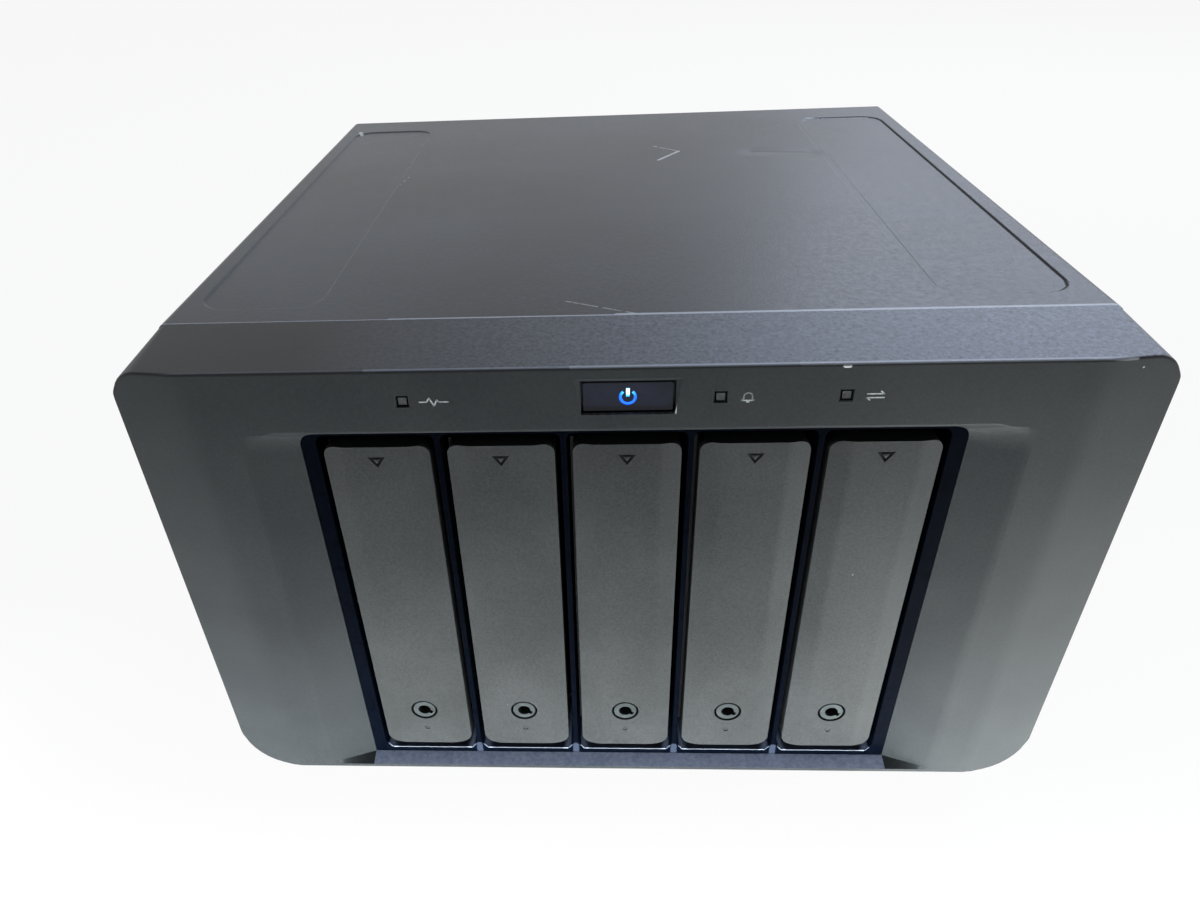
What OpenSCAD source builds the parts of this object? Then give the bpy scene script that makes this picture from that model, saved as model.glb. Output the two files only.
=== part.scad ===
// Five-bay desktop drive enclosure for network storage: a moulded front bezel
// around five hot-swap drive trays, on a folded steel chassis with a U-shaped cover.
// The origin is on the desk at the middle of the footprint, the front faces -Y.

/* [Case] */
// Height of the rubber feet
foot_h = 9; // [7:0.5:11]
// Radius of the rubber feet
foot_r = 10; // [7:0.5:13]
// Space between the base pan and the drive cage
cage_lift = 13.6; // [10:0.1:20]
// Space at each side between the drive cage and the cover
side_bay_w = 39.8; // [37:0.1:46]
// Space for wires between the backplane and the fans
wire_space = 38.8; // [30:0.1:60]
// Sheet thickness of the chassis
sheet = 1.2; // [1:0.1:1.6]
// Sheet thickness of the cover
cover_sheet = 1; // [0.8:0.1:1.4]
// Outer bend radius along the cover's top edges
cover_bend_r = 5; // [3:0.5:8]

/* [Drives and trays] */
// Thickness of a standard drive
drive_w = 26.1; // [24:0.1:27]
// Length of a standard drive
drive_d = 147; // [140:0.5:155]
// Width of a standard drive, which stands on its edge
drive_h = 101.6; // [98:0.1:106]
// Space beside each drive for its carrier and the divider
bay_space = 5.4; // [5:0.1:8]
// Wall of the tray carrier
carrier_wall = 1.2; // [0.8:0.1:1.3]
// Rails along the tray carrier
carrier_rail = 2; // [1.6:0.1:2.6]
// Wall at the front of the tray carrier
carrier_front = 2.5; // [1.6:0.1:3]
// Thickness of the guide rails in the cage
guide_h = 3.9; // [2:0.1:5]

/* [Tray handles] */
// Space between neighbouring handles
handle_space = 4.5; // [3.6:0.1:7]
// Width of the flat middle of a handle's face
handle_flat_w = 16.5; // [12:0.1:20]
// How far a handle's side facets fall back
handle_fall = 1; // [0.4:0.1:1.4]
// Depth of a tray handle
handle_d = 7; // [6.4:0.1:9]
// Wall of a tray handle
handle_wall = 2; // [1.6:0.1:2.4]
// Corner radius of a handle's face
handle_r = 3; // [1:0.1:4]
// How far a handle reaches past its carrier at each end
handle_over = 2.8; // [1.5:0.1:3.5]
// Height of the handle's hinge above its lower edge
hinge_up = 5.1; // [4.8:0.1:6]
// Radius of the hinge pin
pin_r = 1; // [0.7:0.05:1.2]
// Radius of the lock barrel
lock_r = 3.6; // [3:0.1:4.2]
// Height of the lock above the handle's lower edge
lock_up = 15.9; // [14:0.1:24]

/* [Front bezel] */
// Depth of the bezel from its face to the cover
bezel_d = 25.4; // [24:0.1:30]
// How far the bezel flares out past the cover on each side
bezel_flare = 2.8; // [1:0.1:5]
// Width of each slanted wing beside the flat face
wing_w = 17.8; // [10:0.1:22]
// How far the wings fall back at the outer edge
wing_fall = 2.4; // [0.5:0.1:4]
// How far the face's top edge lies below the cover
crown_drop = 1.2; // [0.5:0.1:3]
// Height of the face's lower edge above the pan
chin_h = 9.3; // [6:0.1:10]
// Wall of the bezel moulding
bezel_wall = 2.6; // [2:0.1:3]
// Radius of the bezel's upper corners
bezel_top_r = 7.5; // [4:0.5:10]
// Radius of the bezel's lower corners
bezel_low_r = 14; // [8:0.5:16]
// Depth of the recess around the trays
dish_d = 4.6; // [3:0.1:5.2]
// Width of the slope at each side of the recess
dish_slope_w = 13; // [8:0.1:16]
// Space between the handles and the recess's upper edge
dish_over = 4.7; // [4:0.1:6]
// Space between the handles and the shelf below them
dish_under = 6; // [5.2:0.1:7]
// Height of the band with the controls
band_h = 18.5; // [16:0.1:26]

/* [Front controls] */
// Distance of the button and the lamps below the cover's top
control_drop = 9.4; // [8.6:0.1:11]
// Width of the power button
button_w = 21.4; // [14:0.1:26]
// Height of the power button
button_h = 7.9; // [5:0.1:9]
// Travel of the power button
button_travel = 1.2; // [0.6:0.1:1.5]
// Radius of the lit symbol on the power button
icon_r = 2.4; // [1.5:0.1:3]
// Size of a lamp lens
lens_w = 2.6; // [2:0.1:3.2]
// Place of the status lamp across the face
status_x = -53.1; // [-60:0.1:-40]
// Place of the alert lamp across the face
alert_x = 21.4; // [19:0.1:30]
// Place of the link lamp across the face
link_x = 50; // [40:0.1:60]

/* [Rear] */
// Width and height of a fan
fan_w = 80; // [76:0.5:81]
// Depth of a fan
fan_d = 25; // [15:0.5:28]
// Space between the two fans
fan_space = 2; // [0.6:0.1:4]
// Height of the fans' shafts
fan_z = 92; // [84:0.5:100]
// Distance of a fan's screws from its edges
fan_screw_in = 4.25; // [3.5:0.05:6]
// Bars of the fan guards
guard_bar = 2.2; // [1.5:0.1:3]
// Gaps of the fan guards
guard_gap = 3.8; // [3:0.1:5]
// Length of the power supply
supply_d = 150; // [120:1:170]
// Height of the power supply
supply_h = 81.5; // [60:0.5:100]
// Height of the mains inlet above the base pan
inlet_up = 26.8; // [25:0.1:50]
// Height of the expansion port above the base pan
port_up = 27.8; // [24:0.1:50]
// Height of the screw heads
head_h = 1.9; // [1:0.1:2.5]
// Height of the security slot
slot_z = 110; // [90:0.5:140]

/* [Clearances] */
// Gap between pieces that slide past each other
slide_gap = 0.3; // [0.2:0.05:0.4]
// Radial gap of a turning pin
pin_gap = 0.06; // [0.02:0.01:0.1]
// Gap round a piece that is dropped in
drop_gap = 0.1; // [0.05:0.01:0.2]

/* [Hidden] */
bay_count = 5;
bays = [1:bay_count];
function numbered(name) = [for (n = bays) str(name, n)];

thin = 0.02;
past = 1;
round_fn = 64;
small_fn = 32;

// Height stations, from the desk up
pan_z = foot_h;
floor_z = pan_z + sheet;
guide_low_z = floor_z + cage_lift + sheet;
carrier_low_z = guide_low_z + guide_h + slide_gap;
rail_low_z = carrier_low_z + carrier_rail;
carrier_gap = 2;
bay_z = rail_low_z + carrier_gap + drive_h / 2;
rail_top_z = bay_z + drive_h / 2 + carrier_gap;
carrier_top_z = rail_top_z + carrier_rail;
guide_top_z = carrier_top_z + slide_gap + guide_h;
handle_low_z = carrier_low_z - handle_over;
handle_top_z = carrier_top_z + handle_over;
shelf_z = handle_low_z - dish_under;
dish_top_z = handle_top_z + dish_over;
face_top_z = dish_top_z + band_h;
overall_h = face_top_z + crown_drop;
cover_in_z = overall_h - cover_sheet;
control_z = overall_h - control_drop;
cell_low_z = handle_low_z - 3.8;
cell_top_z = handle_top_z + 2.8;

// Depths that add up from the face to the rear screw heads
board_t = 1.6;
socket_d = 8;
handle_set = 1.1;
carrier_set = 1.5;
drive_set = 3;
plug_gap = 1;
overall_d = dish_d - handle_set + handle_d + carrier_set + carrier_front + drive_set + drive_d
    + plug_gap + socket_d + board_t + wire_space + fan_d + sheet + cover_sheet + head_h;

// Depth stations, front to back
front_y = -overall_d / 2;
wing_y = front_y + wing_fall;
dish_y = front_y + dish_d;
joint_y = front_y + bezel_d;
plate_y = joint_y + sheet;
handle_y = dish_y - handle_set;
handle_back_y = handle_y + handle_d;
hinge_y = handle_back_y - 2;
hinge_z = handle_low_z + hinge_up;
carrier_y = handle_back_y + carrier_set;
drive_y = carrier_y + carrier_front + drive_set;
drive_back_y = drive_y + drive_d;
carrier_back_y = drive_back_y - 6;
backplane_y = drive_back_y + plug_gap + socket_d;
backplane_back_y = backplane_y + board_t;
fan_front_y = backplane_back_y + wire_space;
panel_in_y = fan_front_y + fan_d;
panel_out_y = panel_in_y + sheet;
cover_back_y = panel_out_y + cover_sheet;
back_y = cover_back_y + head_h;
cage_back_y = fan_front_y - 2;
supply_front_y = panel_in_y - supply_d;

// Width stations
bay_pitch = drive_w + bay_space;
handle_w = bay_pitch - handle_space;
function bay_x(n) = (n - (bay_count + 1) / 2) * bay_pitch;
cage_in_x = bay_count * bay_pitch / 2 + 0.45;
cage_out_x = cage_in_x + sheet;
cover_in_x = cage_out_x + side_bay_w;
cover_x = cover_in_x + cover_sheet;
bezel_x = cover_x + bezel_flare;
face_x = bezel_x - wing_w;
dish_in_x = cage_in_x + 2.8;
dish_out_x = dish_in_x + dish_slope_w;
fan_x = (fan_w + fan_space) / 2;
fan_out_x = fan_x + fan_w / 2;
fan_screw_pitch = fan_w - 2 * fan_screw_in;

// Screws: shanks, heads and the holes for them
screw_r = 1.5;
screw_head_r = 3;
board_screw_r = 1.2;
board_head_r = 2.6;
fan_screw_r = 1.9;
fan_head_r = 3.4;
fan_hole_r = 2.15;

// Tray sizes
carrier_x0 = -drive_w / 2 - 0.15 - carrier_wall;
carrier_x1 = drive_w / 2 + 0.35;
ridge_w = 6;
ridge_h = 1;
cell_x = bay_pitch / 2 - 0.75;
cell_low_r = 4;
cell_top_r = 2;

// Boards, sockets and power supply
socket_z = bay_z - 23;
socket_w = 6;
socket_h = 38;
socket_slot = 2.6;
inlet_flange = [22.4, 49.6];
inlet_body = [19.8, 27];
inlet_depth = 20;
inlet_z = floor_z + inlet_up;
port_z = floor_z + port_up;
control_x = max(cage_out_x, fan_out_x) + 4.4;
control_y0 = backplane_y - 32;
control_y1 = panel_in_y - slide_gap;
control_z0 = port_z - 14;
control_z1 = control_z0 + 106;
link_z0 = control_z0 + 38;
link_z1 = link_z0 + 30;
link_y1 = backplane_back_y + 7;
lead_r = 2.6;
lead_y = backplane_back_y + 12;
lead_x = bay_x(bay_count) + drive_w / 2 - 6.2;
lead_z = floor_z + supply_h + 9;
supply_x0 = max(cage_out_x, fan_out_x) + 0.2;
supply_x1 = cover_in_x - sheet;
supply_x = (supply_x0 + supply_x1) / 2;

// Front board behind the controls
board_y = front_y + 10;
lamp_h = 0.7;
lens_back_y = board_y - lamp_h - slide_gap;
pocket_y = front_y + 2.6;
button_y = front_y + 0.9;
flange_t = 1;

// A box given by its limits
module slab(x0, x1, y0, y1, z0, z1) {
    translate([x0, y0, z0]) cube([x1 - x0, y1 - y0, z1 - z0]);
}

// The same box on both sides of the middle
module both_sides() {
    children();
    mirror([1, 0, 0]) children();
}

// A round bar along Y from y0 to y1
module bar_y(x, z, r, y0, y1) {
    translate([x, y1, z]) rotate([90, 0, 0]) cylinder(r = r, h = y1 - y0, $fn = round_fn);
}

// A round bar along X from x0 to x1
module bar_x(x0, x1, y, z, r) {
    translate([x0, y, z]) rotate([0, 90, 0]) cylinder(r = r, h = x1 - x0, $fn = round_fn);
}

// A flat outline in X and Z, extruded along Y from y0 to y1
module slice(y0, y1) {
    translate([0, y1, 0]) rotate([90, 0, 0]) linear_extrude(y1 - y0) children();
}

// Rectangle about the middle with its own upper and lower corner radii
module outline(half, z0, z1, r_top, r_low, fn = small_fn) {
    polygon([[-half + r_low, z0], [half - r_low, z0], [half, z0 + r_low], [half, z1 - r_top],
             [half - r_top, z1], [-half + r_top, z1], [-half, z1 - r_top], [-half, z0 + r_low]]);
    for (side = [-1, 1]) {
        translate([side * (half - r_top), z1 - r_top]) circle(r_top, $fn = fn);
        translate([side * (half - r_low), z0 + r_low]) circle(r_low, $fn = fn);
    }
}

// Height of the bezel's underside, which rises from the pan to the face's lower edge
function under_z(y) = pan_z + chin_h * (joint_y - y) / bezel_d;

// Height of the bezel's top, which falls gently from the cover to the face
function crown_z(y) = overall_h - crown_drop * (joint_y - y) / bezel_d;

module bezel_outside() {
    hull() {
        slice(joint_y - thin, joint_y)
            outline(cover_x, pan_z, overall_h, cover_bend_r, cover_bend_r);
        slice(wing_y, wing_y + thin)
            outline(bezel_x, under_z(wing_y), crown_z(wing_y), bezel_top_r, bezel_low_r);
        slice(front_y, front_y + thin)
            outline(face_x, under_z(front_y), face_top_z, thin, thin);
    }
}

module bezel_inside() {
    inner_y = wing_y + 2.2;
    difference() {
        hull() {
            slice(joint_y, joint_y + past)
                outline(cover_x - bezel_wall, pan_z + bezel_wall, overall_h - bezel_wall,
                        cover_bend_r - 2, cover_bend_r - 2);
            slice(inner_y, inner_y + thin)
                outline(bezel_x - bezel_wall, under_z(inner_y) + bezel_wall,
                        crown_z(inner_y) - bezel_wall,
                        bezel_top_r - bezel_wall, bezel_low_r - bezel_wall);
        }
        slab(-dish_out_x - 2, dish_out_x + 2, front_y, dish_y + 2.5, 0, dish_top_z + 3.4);
    }
    slab(-face_x + 2, face_x - 2, pocket_y, inner_y + past, dish_top_z + 3.4, face_top_z - 3.1);
}

module dish() {
    hull() {
        slice(front_y - thin, front_y)
            outline(dish_out_x, shelf_z, dish_top_z + 1.4, 8, 2);
        slice(dish_y, dish_y + thin)
            outline(dish_in_x, shelf_z, dish_top_z, 5.5, 2);
    }
}

hook_z = [pan_z + 31, overall_h - 36];
hook_t = 2.4;
hook_x = cover_x - bezel_wall - hook_t;

// Tongues that snap through slots in the front plate
module hooks(gap = 0) {
    for (z = hook_z)
        both_sides()
            slab(hook_x - gap, hook_x + hook_t + gap, joint_y - 8, plate_y + 3,
                 z - 5 - gap, z + 5 + gap);
}

module hook_roots() {
    for (z = hook_z)
        both_sides()
            slab(hook_x, hook_x + hook_t + 1.6, joint_y - 8, joint_y, z - 5, z + 5);
}

module front_bezel() {
    color("#383c3f") {
        difference() {
            bezel_outside();
            bezel_inside();
            dish();
            slab(-dish_in_x, dish_in_x, front_y, joint_y, shelf_z, dish_top_z);
            slab(-button_w / 2 - slide_gap, button_w / 2 + slide_gap, front_y - past, joint_y,
                 control_z - button_h / 2 - slide_gap, control_z + button_h / 2 + slide_gap);
            slab(-button_w / 2 - 1.2, button_w / 2 + 1.2, front_y - past, button_y,
                 control_z - button_h / 2 - 0.5, control_z + button_h / 2 + 1);
            for (x = [status_x, alert_x, link_x])
                slab(x - lens_w / 2 - drop_gap, x + lens_w / 2 + drop_gap, front_y - past, joint_y,
                     control_z - lens_w / 2 - drop_gap, control_z + lens_w / 2 + drop_gap);
        }
        hooks();
        hook_roots();
    }
}

// Black grid that the trays slide through
module bay_frame() {
    color("#101216")
        difference() {
            slice(dish_y, joint_y)
                outline(dish_in_x - drop_gap, shelf_z + drop_gap, dish_top_z - drop_gap, 1, 1);
            for (n = bays)
                translate([bay_x(n), 0, 0])
                    slice(dish_y - past, joint_y + past)
                        outline(cell_x, cell_low_z, cell_top_z, cell_top_r, cell_low_r);
        }
}

// Outline of the front and rear plates, which fit inside the cover
module plate_outline() {
    outline(cover_in_x, pan_z, cover_in_z, cover_bend_r - cover_sheet, 1, round_fn);
}

module front_plate() {
    color("#8d9296")
        difference() {
            slice(joint_y, plate_y) plate_outline();
            slab(-cage_in_x, cage_in_x, joint_y - past, plate_y + past, guide_low_z, guide_top_z);
            hooks(slide_gap);
        }
}

foot_in = 22;
foot_x = cover_x - foot_in;
foot_y = [plate_y + foot_r + 6.8, cover_back_y - foot_in];
stud_r = 3;
pan_flange_h = 12;

module base_pan() {
    color("#8d9296")
        difference() {
            union() {
                slab(-cover_in_x, cover_in_x, plate_y, panel_in_y, pan_z, floor_z);
                both_sides()
                    slab(cover_in_x - sheet, cover_in_x, plate_y, panel_in_y, pan_z, floor_z + pan_flange_h);
            }
            for (side = [-1, 1], y = foot_y)
                translate([side * foot_x, y, pan_z - past])
                    cylinder(r = stud_r, h = sheet + 2 * past, $fn = round_fn);
        }
}

module rubber_feet() {
    color("#17181a")
        for (side = [-1, 1], y = foot_y)
            translate([side * foot_x, y, 0]) {
                cylinder(r = foot_r, h = foot_h, $fn = round_fn);
                cylinder(r = stud_r - drop_gap, h = foot_h + sheet, $fn = round_fn);
            }
}

lip_w = 8;
vent_w = 3;
vent_h = 34;
vent_pitch = 8;
vent_count = 13;
vent_z = bay_z - vent_h / 2;
emboss_d = 0.4;
emboss_r = 8;
emboss_w = 34;
emboss_x = cover_x - 6.7 - emboss_w / 2;
emboss_y = [joint_y + 8.6, cover_back_y - 17.6];

// Outline of the cover's section: flat top, bent edges, open below
module cover_section(half, top, bend) {
    outline(half, pan_z - 20, top, bend, 1, round_fn);
}

module top_cover() {
    color("#5c6166")
        difference() {
            slice(joint_y, cover_back_y) cover_section(cover_x, overall_h, cover_bend_r);
            slice(joint_y - past, cover_back_y - cover_sheet)
                cover_section(cover_in_x, cover_in_z, cover_bend_r - cover_sheet);
            slab(-cover_in_x + lip_w, cover_in_x - lip_w, joint_y, back_y, 0, cover_in_z - lip_w);
            slab(-bezel_x, bezel_x, joint_y - past, back_y, -30, pan_z);
            for (k = [0:vent_count - 1]) {
                y = (k - (vent_count - 1) / 2) * vent_pitch;
                slab(-bezel_x, bezel_x, y - vent_w / 2, y + vent_w / 2, vent_z, vent_z + vent_h);
            }
            both_sides()
                translate([emboss_x, 0, overall_h - emboss_d])
                    linear_extrude(emboss_d + past)
                        outline(emboss_w / 2, emboss_y[0], emboss_y[1], emboss_r, emboss_r);
            slab(supply_x - inlet_flange[0] / 2 - 0.5, supply_x + inlet_flange[0] / 2 + 0.5,
                 panel_out_y - past, back_y,
                 inlet_z - inlet_flange[1] / 2 - 0.5, inlet_z + inlet_flange[1] / 2 + 0.5);
            for (p = cover_screw_places())
                bar_y(p[0], p[1], screw_r, panel_out_y - past, back_y);
        }
}

cover_screw_z = [inlet_z + inlet_flange[1] / 2 + screw_head_r + 1, bay_z + drive_h / 2 + 5.2];
function cover_screw_places() = [
    for (side = [-1, 1], z = cover_screw_z) [side * (cover_in_x - lip_w / 2), z],
    for (side = [-1, 1]) [side * fan_x, cover_in_z - lip_w / 2]];

slot_half = screw_head_r * 2 / 3;
slot_w = 0.8;

module cover_screws() {
    color("#2b2d30")
        for (p = cover_screw_places()) {
            bar_y(p[0], p[1], screw_r, panel_in_y, cover_back_y);
            difference() {
                bar_y(p[0], p[1], screw_head_r, cover_back_y, back_y);
                for (half = [[slot_half, slot_w / 2], [slot_w / 2, slot_half]])
                    slab(p[0] - half[0], p[0] + half[0], back_y - 0.9, back_y + past,
                         p[1] - half[1], p[1] + half[1]);
            }
        }
}

guard_r = fan_w / 2 - 2.5;
guard_count = floor(guard_r / (guard_bar + guard_gap));

// Slots of one fan guard, cut to the chords of its circle
module guard_slots(x) {
    for (k = [-guard_count:guard_count]) {
        off = k * (guard_bar + guard_gap);
        half = sqrt(guard_r * guard_r - pow(abs(off) + guard_gap / 2, 2)) - 0.5;
        for (side = [-1, 1])
            if (half > 4)
                slab(x + off - guard_gap / 2, x + off + guard_gap / 2, panel_in_y - past, panel_out_y + past,
                     fan_z + (side < 0 ? -half : guard_bar / 2), fan_z + (side < 0 ? -guard_bar / 2 : half));
    }
}

port_size = [8, 18];
port_d = 16;
port_x = -control_x - board_t - port_size[0] / 2;
slot_size = [7.2, 3.2];
slot_plate = [slot_size[0] + 12.8, slot_size[1] + 10.8];
slot_x = -(control_x + board_t + cover_in_x) / 2;
function fan_screw_places(x) = [
    for (i = [-1, 1], j = [-1, 1]) [x + i * fan_screw_pitch / 2, fan_z + j * fan_screw_pitch / 2]];

module security_slot(y0, y1) {
    slab(slot_x - slot_size[0] / 2, slot_x + slot_size[0] / 2, y0, y1,
         slot_z - slot_size[1] / 2, slot_z + slot_size[1] / 2);
}

module rear_panel() {
    color("#6a6f73")
        difference() {
            slice(panel_in_y, panel_out_y) plate_outline();
            for (side = [-1, 1]) {
                guard_slots(side * fan_x);
                for (p = fan_screw_places(side * fan_x))
                    bar_y(p[0], p[1], fan_hole_r, panel_in_y - past, panel_out_y + past);
            }
            slab(supply_x - inlet_body[0] / 2 - drop_gap, supply_x + inlet_body[0] / 2 + drop_gap,
                 panel_in_y - past, panel_out_y + past,
                 inlet_z - inlet_body[1] / 2 - drop_gap, inlet_z + inlet_body[1] / 2 + drop_gap);
            slab(port_x - port_size[0] / 2 - drop_gap, port_x + port_size[0] / 2 + drop_gap,
                 panel_in_y - past, panel_out_y + past,
                 port_z - port_size[1] / 2 - drop_gap, port_z + port_size[1] / 2 + drop_gap);
            security_slot(panel_in_y - past, panel_out_y + past);
            for (p = cover_screw_places())
                bar_y(p[0], p[1], screw_r, panel_in_y - past, panel_out_y + past);
        }
}

module security_slot_plate() {
    color("#b9bcbe")
        difference() {
            slab(slot_x - slot_plate[0] / 2, slot_x + slot_plate[0] / 2, panel_in_y - 1.5, panel_in_y,
                 slot_z - slot_plate[1] / 2, slot_z + slot_plate[1] / 2);
            security_slot(panel_in_y - 2, panel_in_y + past);
        }
}

module cage_side(side) {
    x0 = side < 0 ? -cage_out_x : cage_in_x;
    slab(x0, x0 + sheet, plate_y, cage_back_y, floor_z, guide_top_z + sheet);
}

module cage_side_left() {
    color("#9da1a4") {
        difference() {
            cage_side(-1);
            slab(-control_x, 0, backplane_back_y - 0.5, link_y1 + 0.5, link_z0 - 0.5, link_z1 + 0.5);
            for (p = board_screw_places())
                bar_x(-control_x, -cage_in_x + past, p[0], p[1], board_screw_r);
        }
        difference() {
            for (p = board_screw_places())
                bar_x(-control_x, -cage_out_x, p[0], p[1], board_head_r);
            for (p = board_screw_places())
                bar_x(-control_x - past, -cage_in_x + past, p[0], p[1], board_screw_r);
        }
    }
}

module cage_side_right() {
    color("#9da1a4")
        difference() {
            cage_side(1);
            bar_x(cage_in_x - past, cage_out_x + past, lead_y, lead_z, lead_r + 1.5);
        }
}

module cage_top_plate() {
    color("#9da1a4")
        slab(-cage_in_x, cage_in_x, plate_y, backplane_y, guide_top_z, guide_top_z + sheet);
}

module cage_bottom_plate() {
    color("#9da1a4")
        slab(-cage_in_x, cage_in_x, plate_y, backplane_y, guide_low_z - sheet, guide_low_z);
}

guide_w = 22;

// Plastic runners with a ridge that fits the groove in each carrier's rails
module guide_rails() {
    guide_back_y = carrier_back_y - 4;
    color("#1d1f22")
        for (n = bays) {
            translate([bay_x(n), 0, 0]) {
                slab(-guide_w / 2, guide_w / 2, plate_y, guide_back_y, guide_low_z, carrier_low_z - slide_gap);
                slab(-ridge_w / 2, ridge_w / 2, plate_y, guide_back_y,
                     carrier_low_z - slide_gap, carrier_low_z - slide_gap + ridge_h);
                slab(-guide_w / 2, guide_w / 2, plate_y, guide_back_y, carrier_top_z + slide_gap, guide_top_z);
                slab(-ridge_w / 2, ridge_w / 2, plate_y, guide_back_y,
                     carrier_top_z + slide_gap - ridge_h, carrier_top_z + slide_gap);
            }
        }
}

window_x = 1;

module backplane() {
    color("#1f5a38")
        difference() {
            slab(-cage_in_x + drop_gap, cage_in_x - drop_gap, backplane_y, backplane_back_y,
                 guide_low_z - sheet, guide_top_z + sheet);
            for (n = bays)
                slab(bay_x(n) + window_x, bay_x(n) + drive_w / 2 - 4, backplane_y - past, backplane_back_y + past,
                     rail_low_z + 13, rail_top_z - 9);
        }
}

module drive_sockets() {
    color("#15171a")
        for (n = bays)
            translate([bay_x(n) - drive_w / 2 + 5, 0, socket_z])
                difference() {
                    slab(-socket_w / 2, socket_w / 2, backplane_y - socket_d, backplane_y,
                         -socket_h / 2, socket_h / 2);
                    slab(-socket_slot / 2, socket_slot / 2, backplane_y - socket_d - past,
                         backplane_y - 1.5, -socket_h / 2 + 2, socket_h / 2 - 2);
                }
}

board_edge = 5;
function board_screw_places() = [
    for (y = [control_y0 + board_edge, cage_back_y - board_edge - 4.4],
         z = [control_z0 + board_edge, control_z1 - board_edge]) [y, z]];

// Chips and coils on the controller board: place along it, place up it, length, width and height
board_parts = [
    [0.54, 0.60, 20, 20, 1.4],
    [0.31, 0.34, 12, 24, 6],
    [0.21, 0.08, 6, 6, 4.5], [0.31, 0.08, 6, 6, 4.5], [0.42, 0.08, 6, 6, 4.5], [0.52, 0.08, 6, 6, 4.5]];

module controller_board() {
    x1 = -control_x;
    x0 = x1 - board_t;
    color("#1f5a38")
        difference() {
            slab(x0, x1, control_y0, control_y1, control_z0, control_z1);
            for (p = board_screw_places())
                bar_x(x0 - past, x1 + past, p[0], p[1], screw_r);
        }
    color("#1c1d1f")
        for (p = board_parts)
            translate([x0 - p[4], control_y0 + p[0] * (control_y1 - control_y0),
                       control_z0 + p[1] * (control_z1 - control_z0)])
                cube([p[4], p[2], p[3]]);
}

module board_screws() {
    x0 = -control_x - board_t;
    color("#b9bcbe")
        for (p = board_screw_places()) {
            bar_x(x0 - 1.8, x0, p[0], p[1], board_head_r);
            bar_x(x0, -cage_out_x, p[0], p[1], board_screw_r);
        }
}

module expansion_port() {
    color("#a9adb0")
        translate([port_x, 0, port_z])
            difference() {
                slab(-port_size[0] / 2, port_size[0] / 2, panel_out_y - port_d, panel_out_y + 1,
                     -port_size[1] / 2, port_size[1] / 2);
                slab(-port_size[0] / 2 + 1.4, port_size[0] / 2 - 1.4, panel_out_y - port_d + 4,
                     panel_out_y + 2, -port_size[1] / 2 + 1.8, port_size[1] / 2 - 1.8);
            }
}

module board_connector() {
    color("#e6e2d6")
        slab(-control_x, -cage_in_x + 12, backplane_back_y, link_y1, link_z0, link_z1);
}

supply_wall = 0.9;
supply_slot_h = 3;
supply_slot_w = 24;
supply_slots = floor((supply_h - 20) / (supply_slot_h + 4));

module power_supply_case() {
    color("#b4b8ba")
        difference() {
            slab(supply_x0, supply_x1, supply_front_y, panel_in_y, floor_z, floor_z + supply_h);
            slab(supply_x0 + supply_wall, supply_x1 - supply_wall,
                 supply_front_y + supply_wall, panel_in_y - supply_wall,
                 floor_z + supply_wall, floor_z + supply_h - supply_wall);
            slab(supply_x - inlet_body[0] / 2 - drop_gap, supply_x + inlet_body[0] / 2 + drop_gap,
                 panel_in_y - 2, panel_in_y + past,
                 inlet_z - inlet_body[1] / 2 - drop_gap, inlet_z + inlet_body[1] / 2 + drop_gap);
            for (k = [0:supply_slots])
                translate([supply_x - supply_slot_w / 2, supply_front_y - past,
                           floor_z + 12 + k * (supply_slot_h + 4)])
                    cube([supply_slot_w, past + 2, supply_slot_h]);
            translate([supply_x, lead_y, floor_z + supply_h - 2])
                cylinder(r = lead_r + 0.4, h = 4, $fn = round_fn);
        }
}

// Upright board with a coil, a capacitor, a heat sink and two brackets to the case
module power_supply_board() {
    bracket = 3;
    x0 = supply_x0 + supply_wall + bracket;
    x1 = supply_x1 - supply_wall - bracket;
    y0 = supply_front_y + 10;
    board_d = supply_d * 0.73;
    z0 = floor_z + supply_wall;
    board_h = supply_h * 0.85;
    color("#6f4a22")
        slab(x0, x0 + board_t, y0, y0 + board_d, z0, z0 + board_h);
    color("#c7a24a")
        slab(x0 + board_t, x1 - 4, y0 + board_d * 0.42, y0 + board_d * 0.65,
             z0 + board_h * 0.14, z0 + board_h * 0.6);
    color("#24272b")
        bar_x(x0 + board_t, x1, y0 + board_d * 0.2, z0 + board_h * 0.37, board_h * 0.13);
    color("#9aa0a4") {
        slab(x0 + board_t, x1 - 2, y0 + board_d * 0.75, y0 + board_d * 0.75 + 3,
             z0 + board_h * 0.12, z0 + board_h * 0.86);
        for (y = [y0 + 4, y0 + board_d - 8])
            slab(x0 - bracket, x0, y, y + 4, z0 + 6, z0 + 10);
    }
}

// Standard mains inlet turned on its side, with three blade pins
module mains_inlet() {
    mouth_y = panel_out_y + 2;
    pin_end_y = mouth_y - 5.5;
    floor_y = mouth_y - 14;
    color("#17181a")
        translate([supply_x, 0, inlet_z])
            difference() {
                union() {
                    slice(panel_out_y, mouth_y)
                        outline(inlet_flange[0] / 2, -inlet_flange[1] / 2, inlet_flange[1] / 2, 4, 4);
                    slab(-inlet_body[0] / 2, inlet_body[0] / 2, mouth_y - inlet_depth, panel_out_y,
                         -inlet_body[1] / 2, inlet_body[1] / 2);
                }
                slab(-8, 8, floor_y, mouth_y + past, -12, 12);
                for (side = [-1, 1])
                    bar_y(0, side * 20, 1.7, panel_out_y - past, mouth_y + past);
            }
    color("#c9ccd0")
        translate([supply_x, 0, inlet_z])
            for (p = [[-2, -7], [2, 0], [-2, 7]])
                slab(p[0] - 1, p[0] + 1, floor_y, pin_end_y, p[1] - 2, p[1] + 2);
}

lead_plug = [10, 6, 18];
plug_back_y = backplane_back_y + lead_plug[1];

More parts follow.
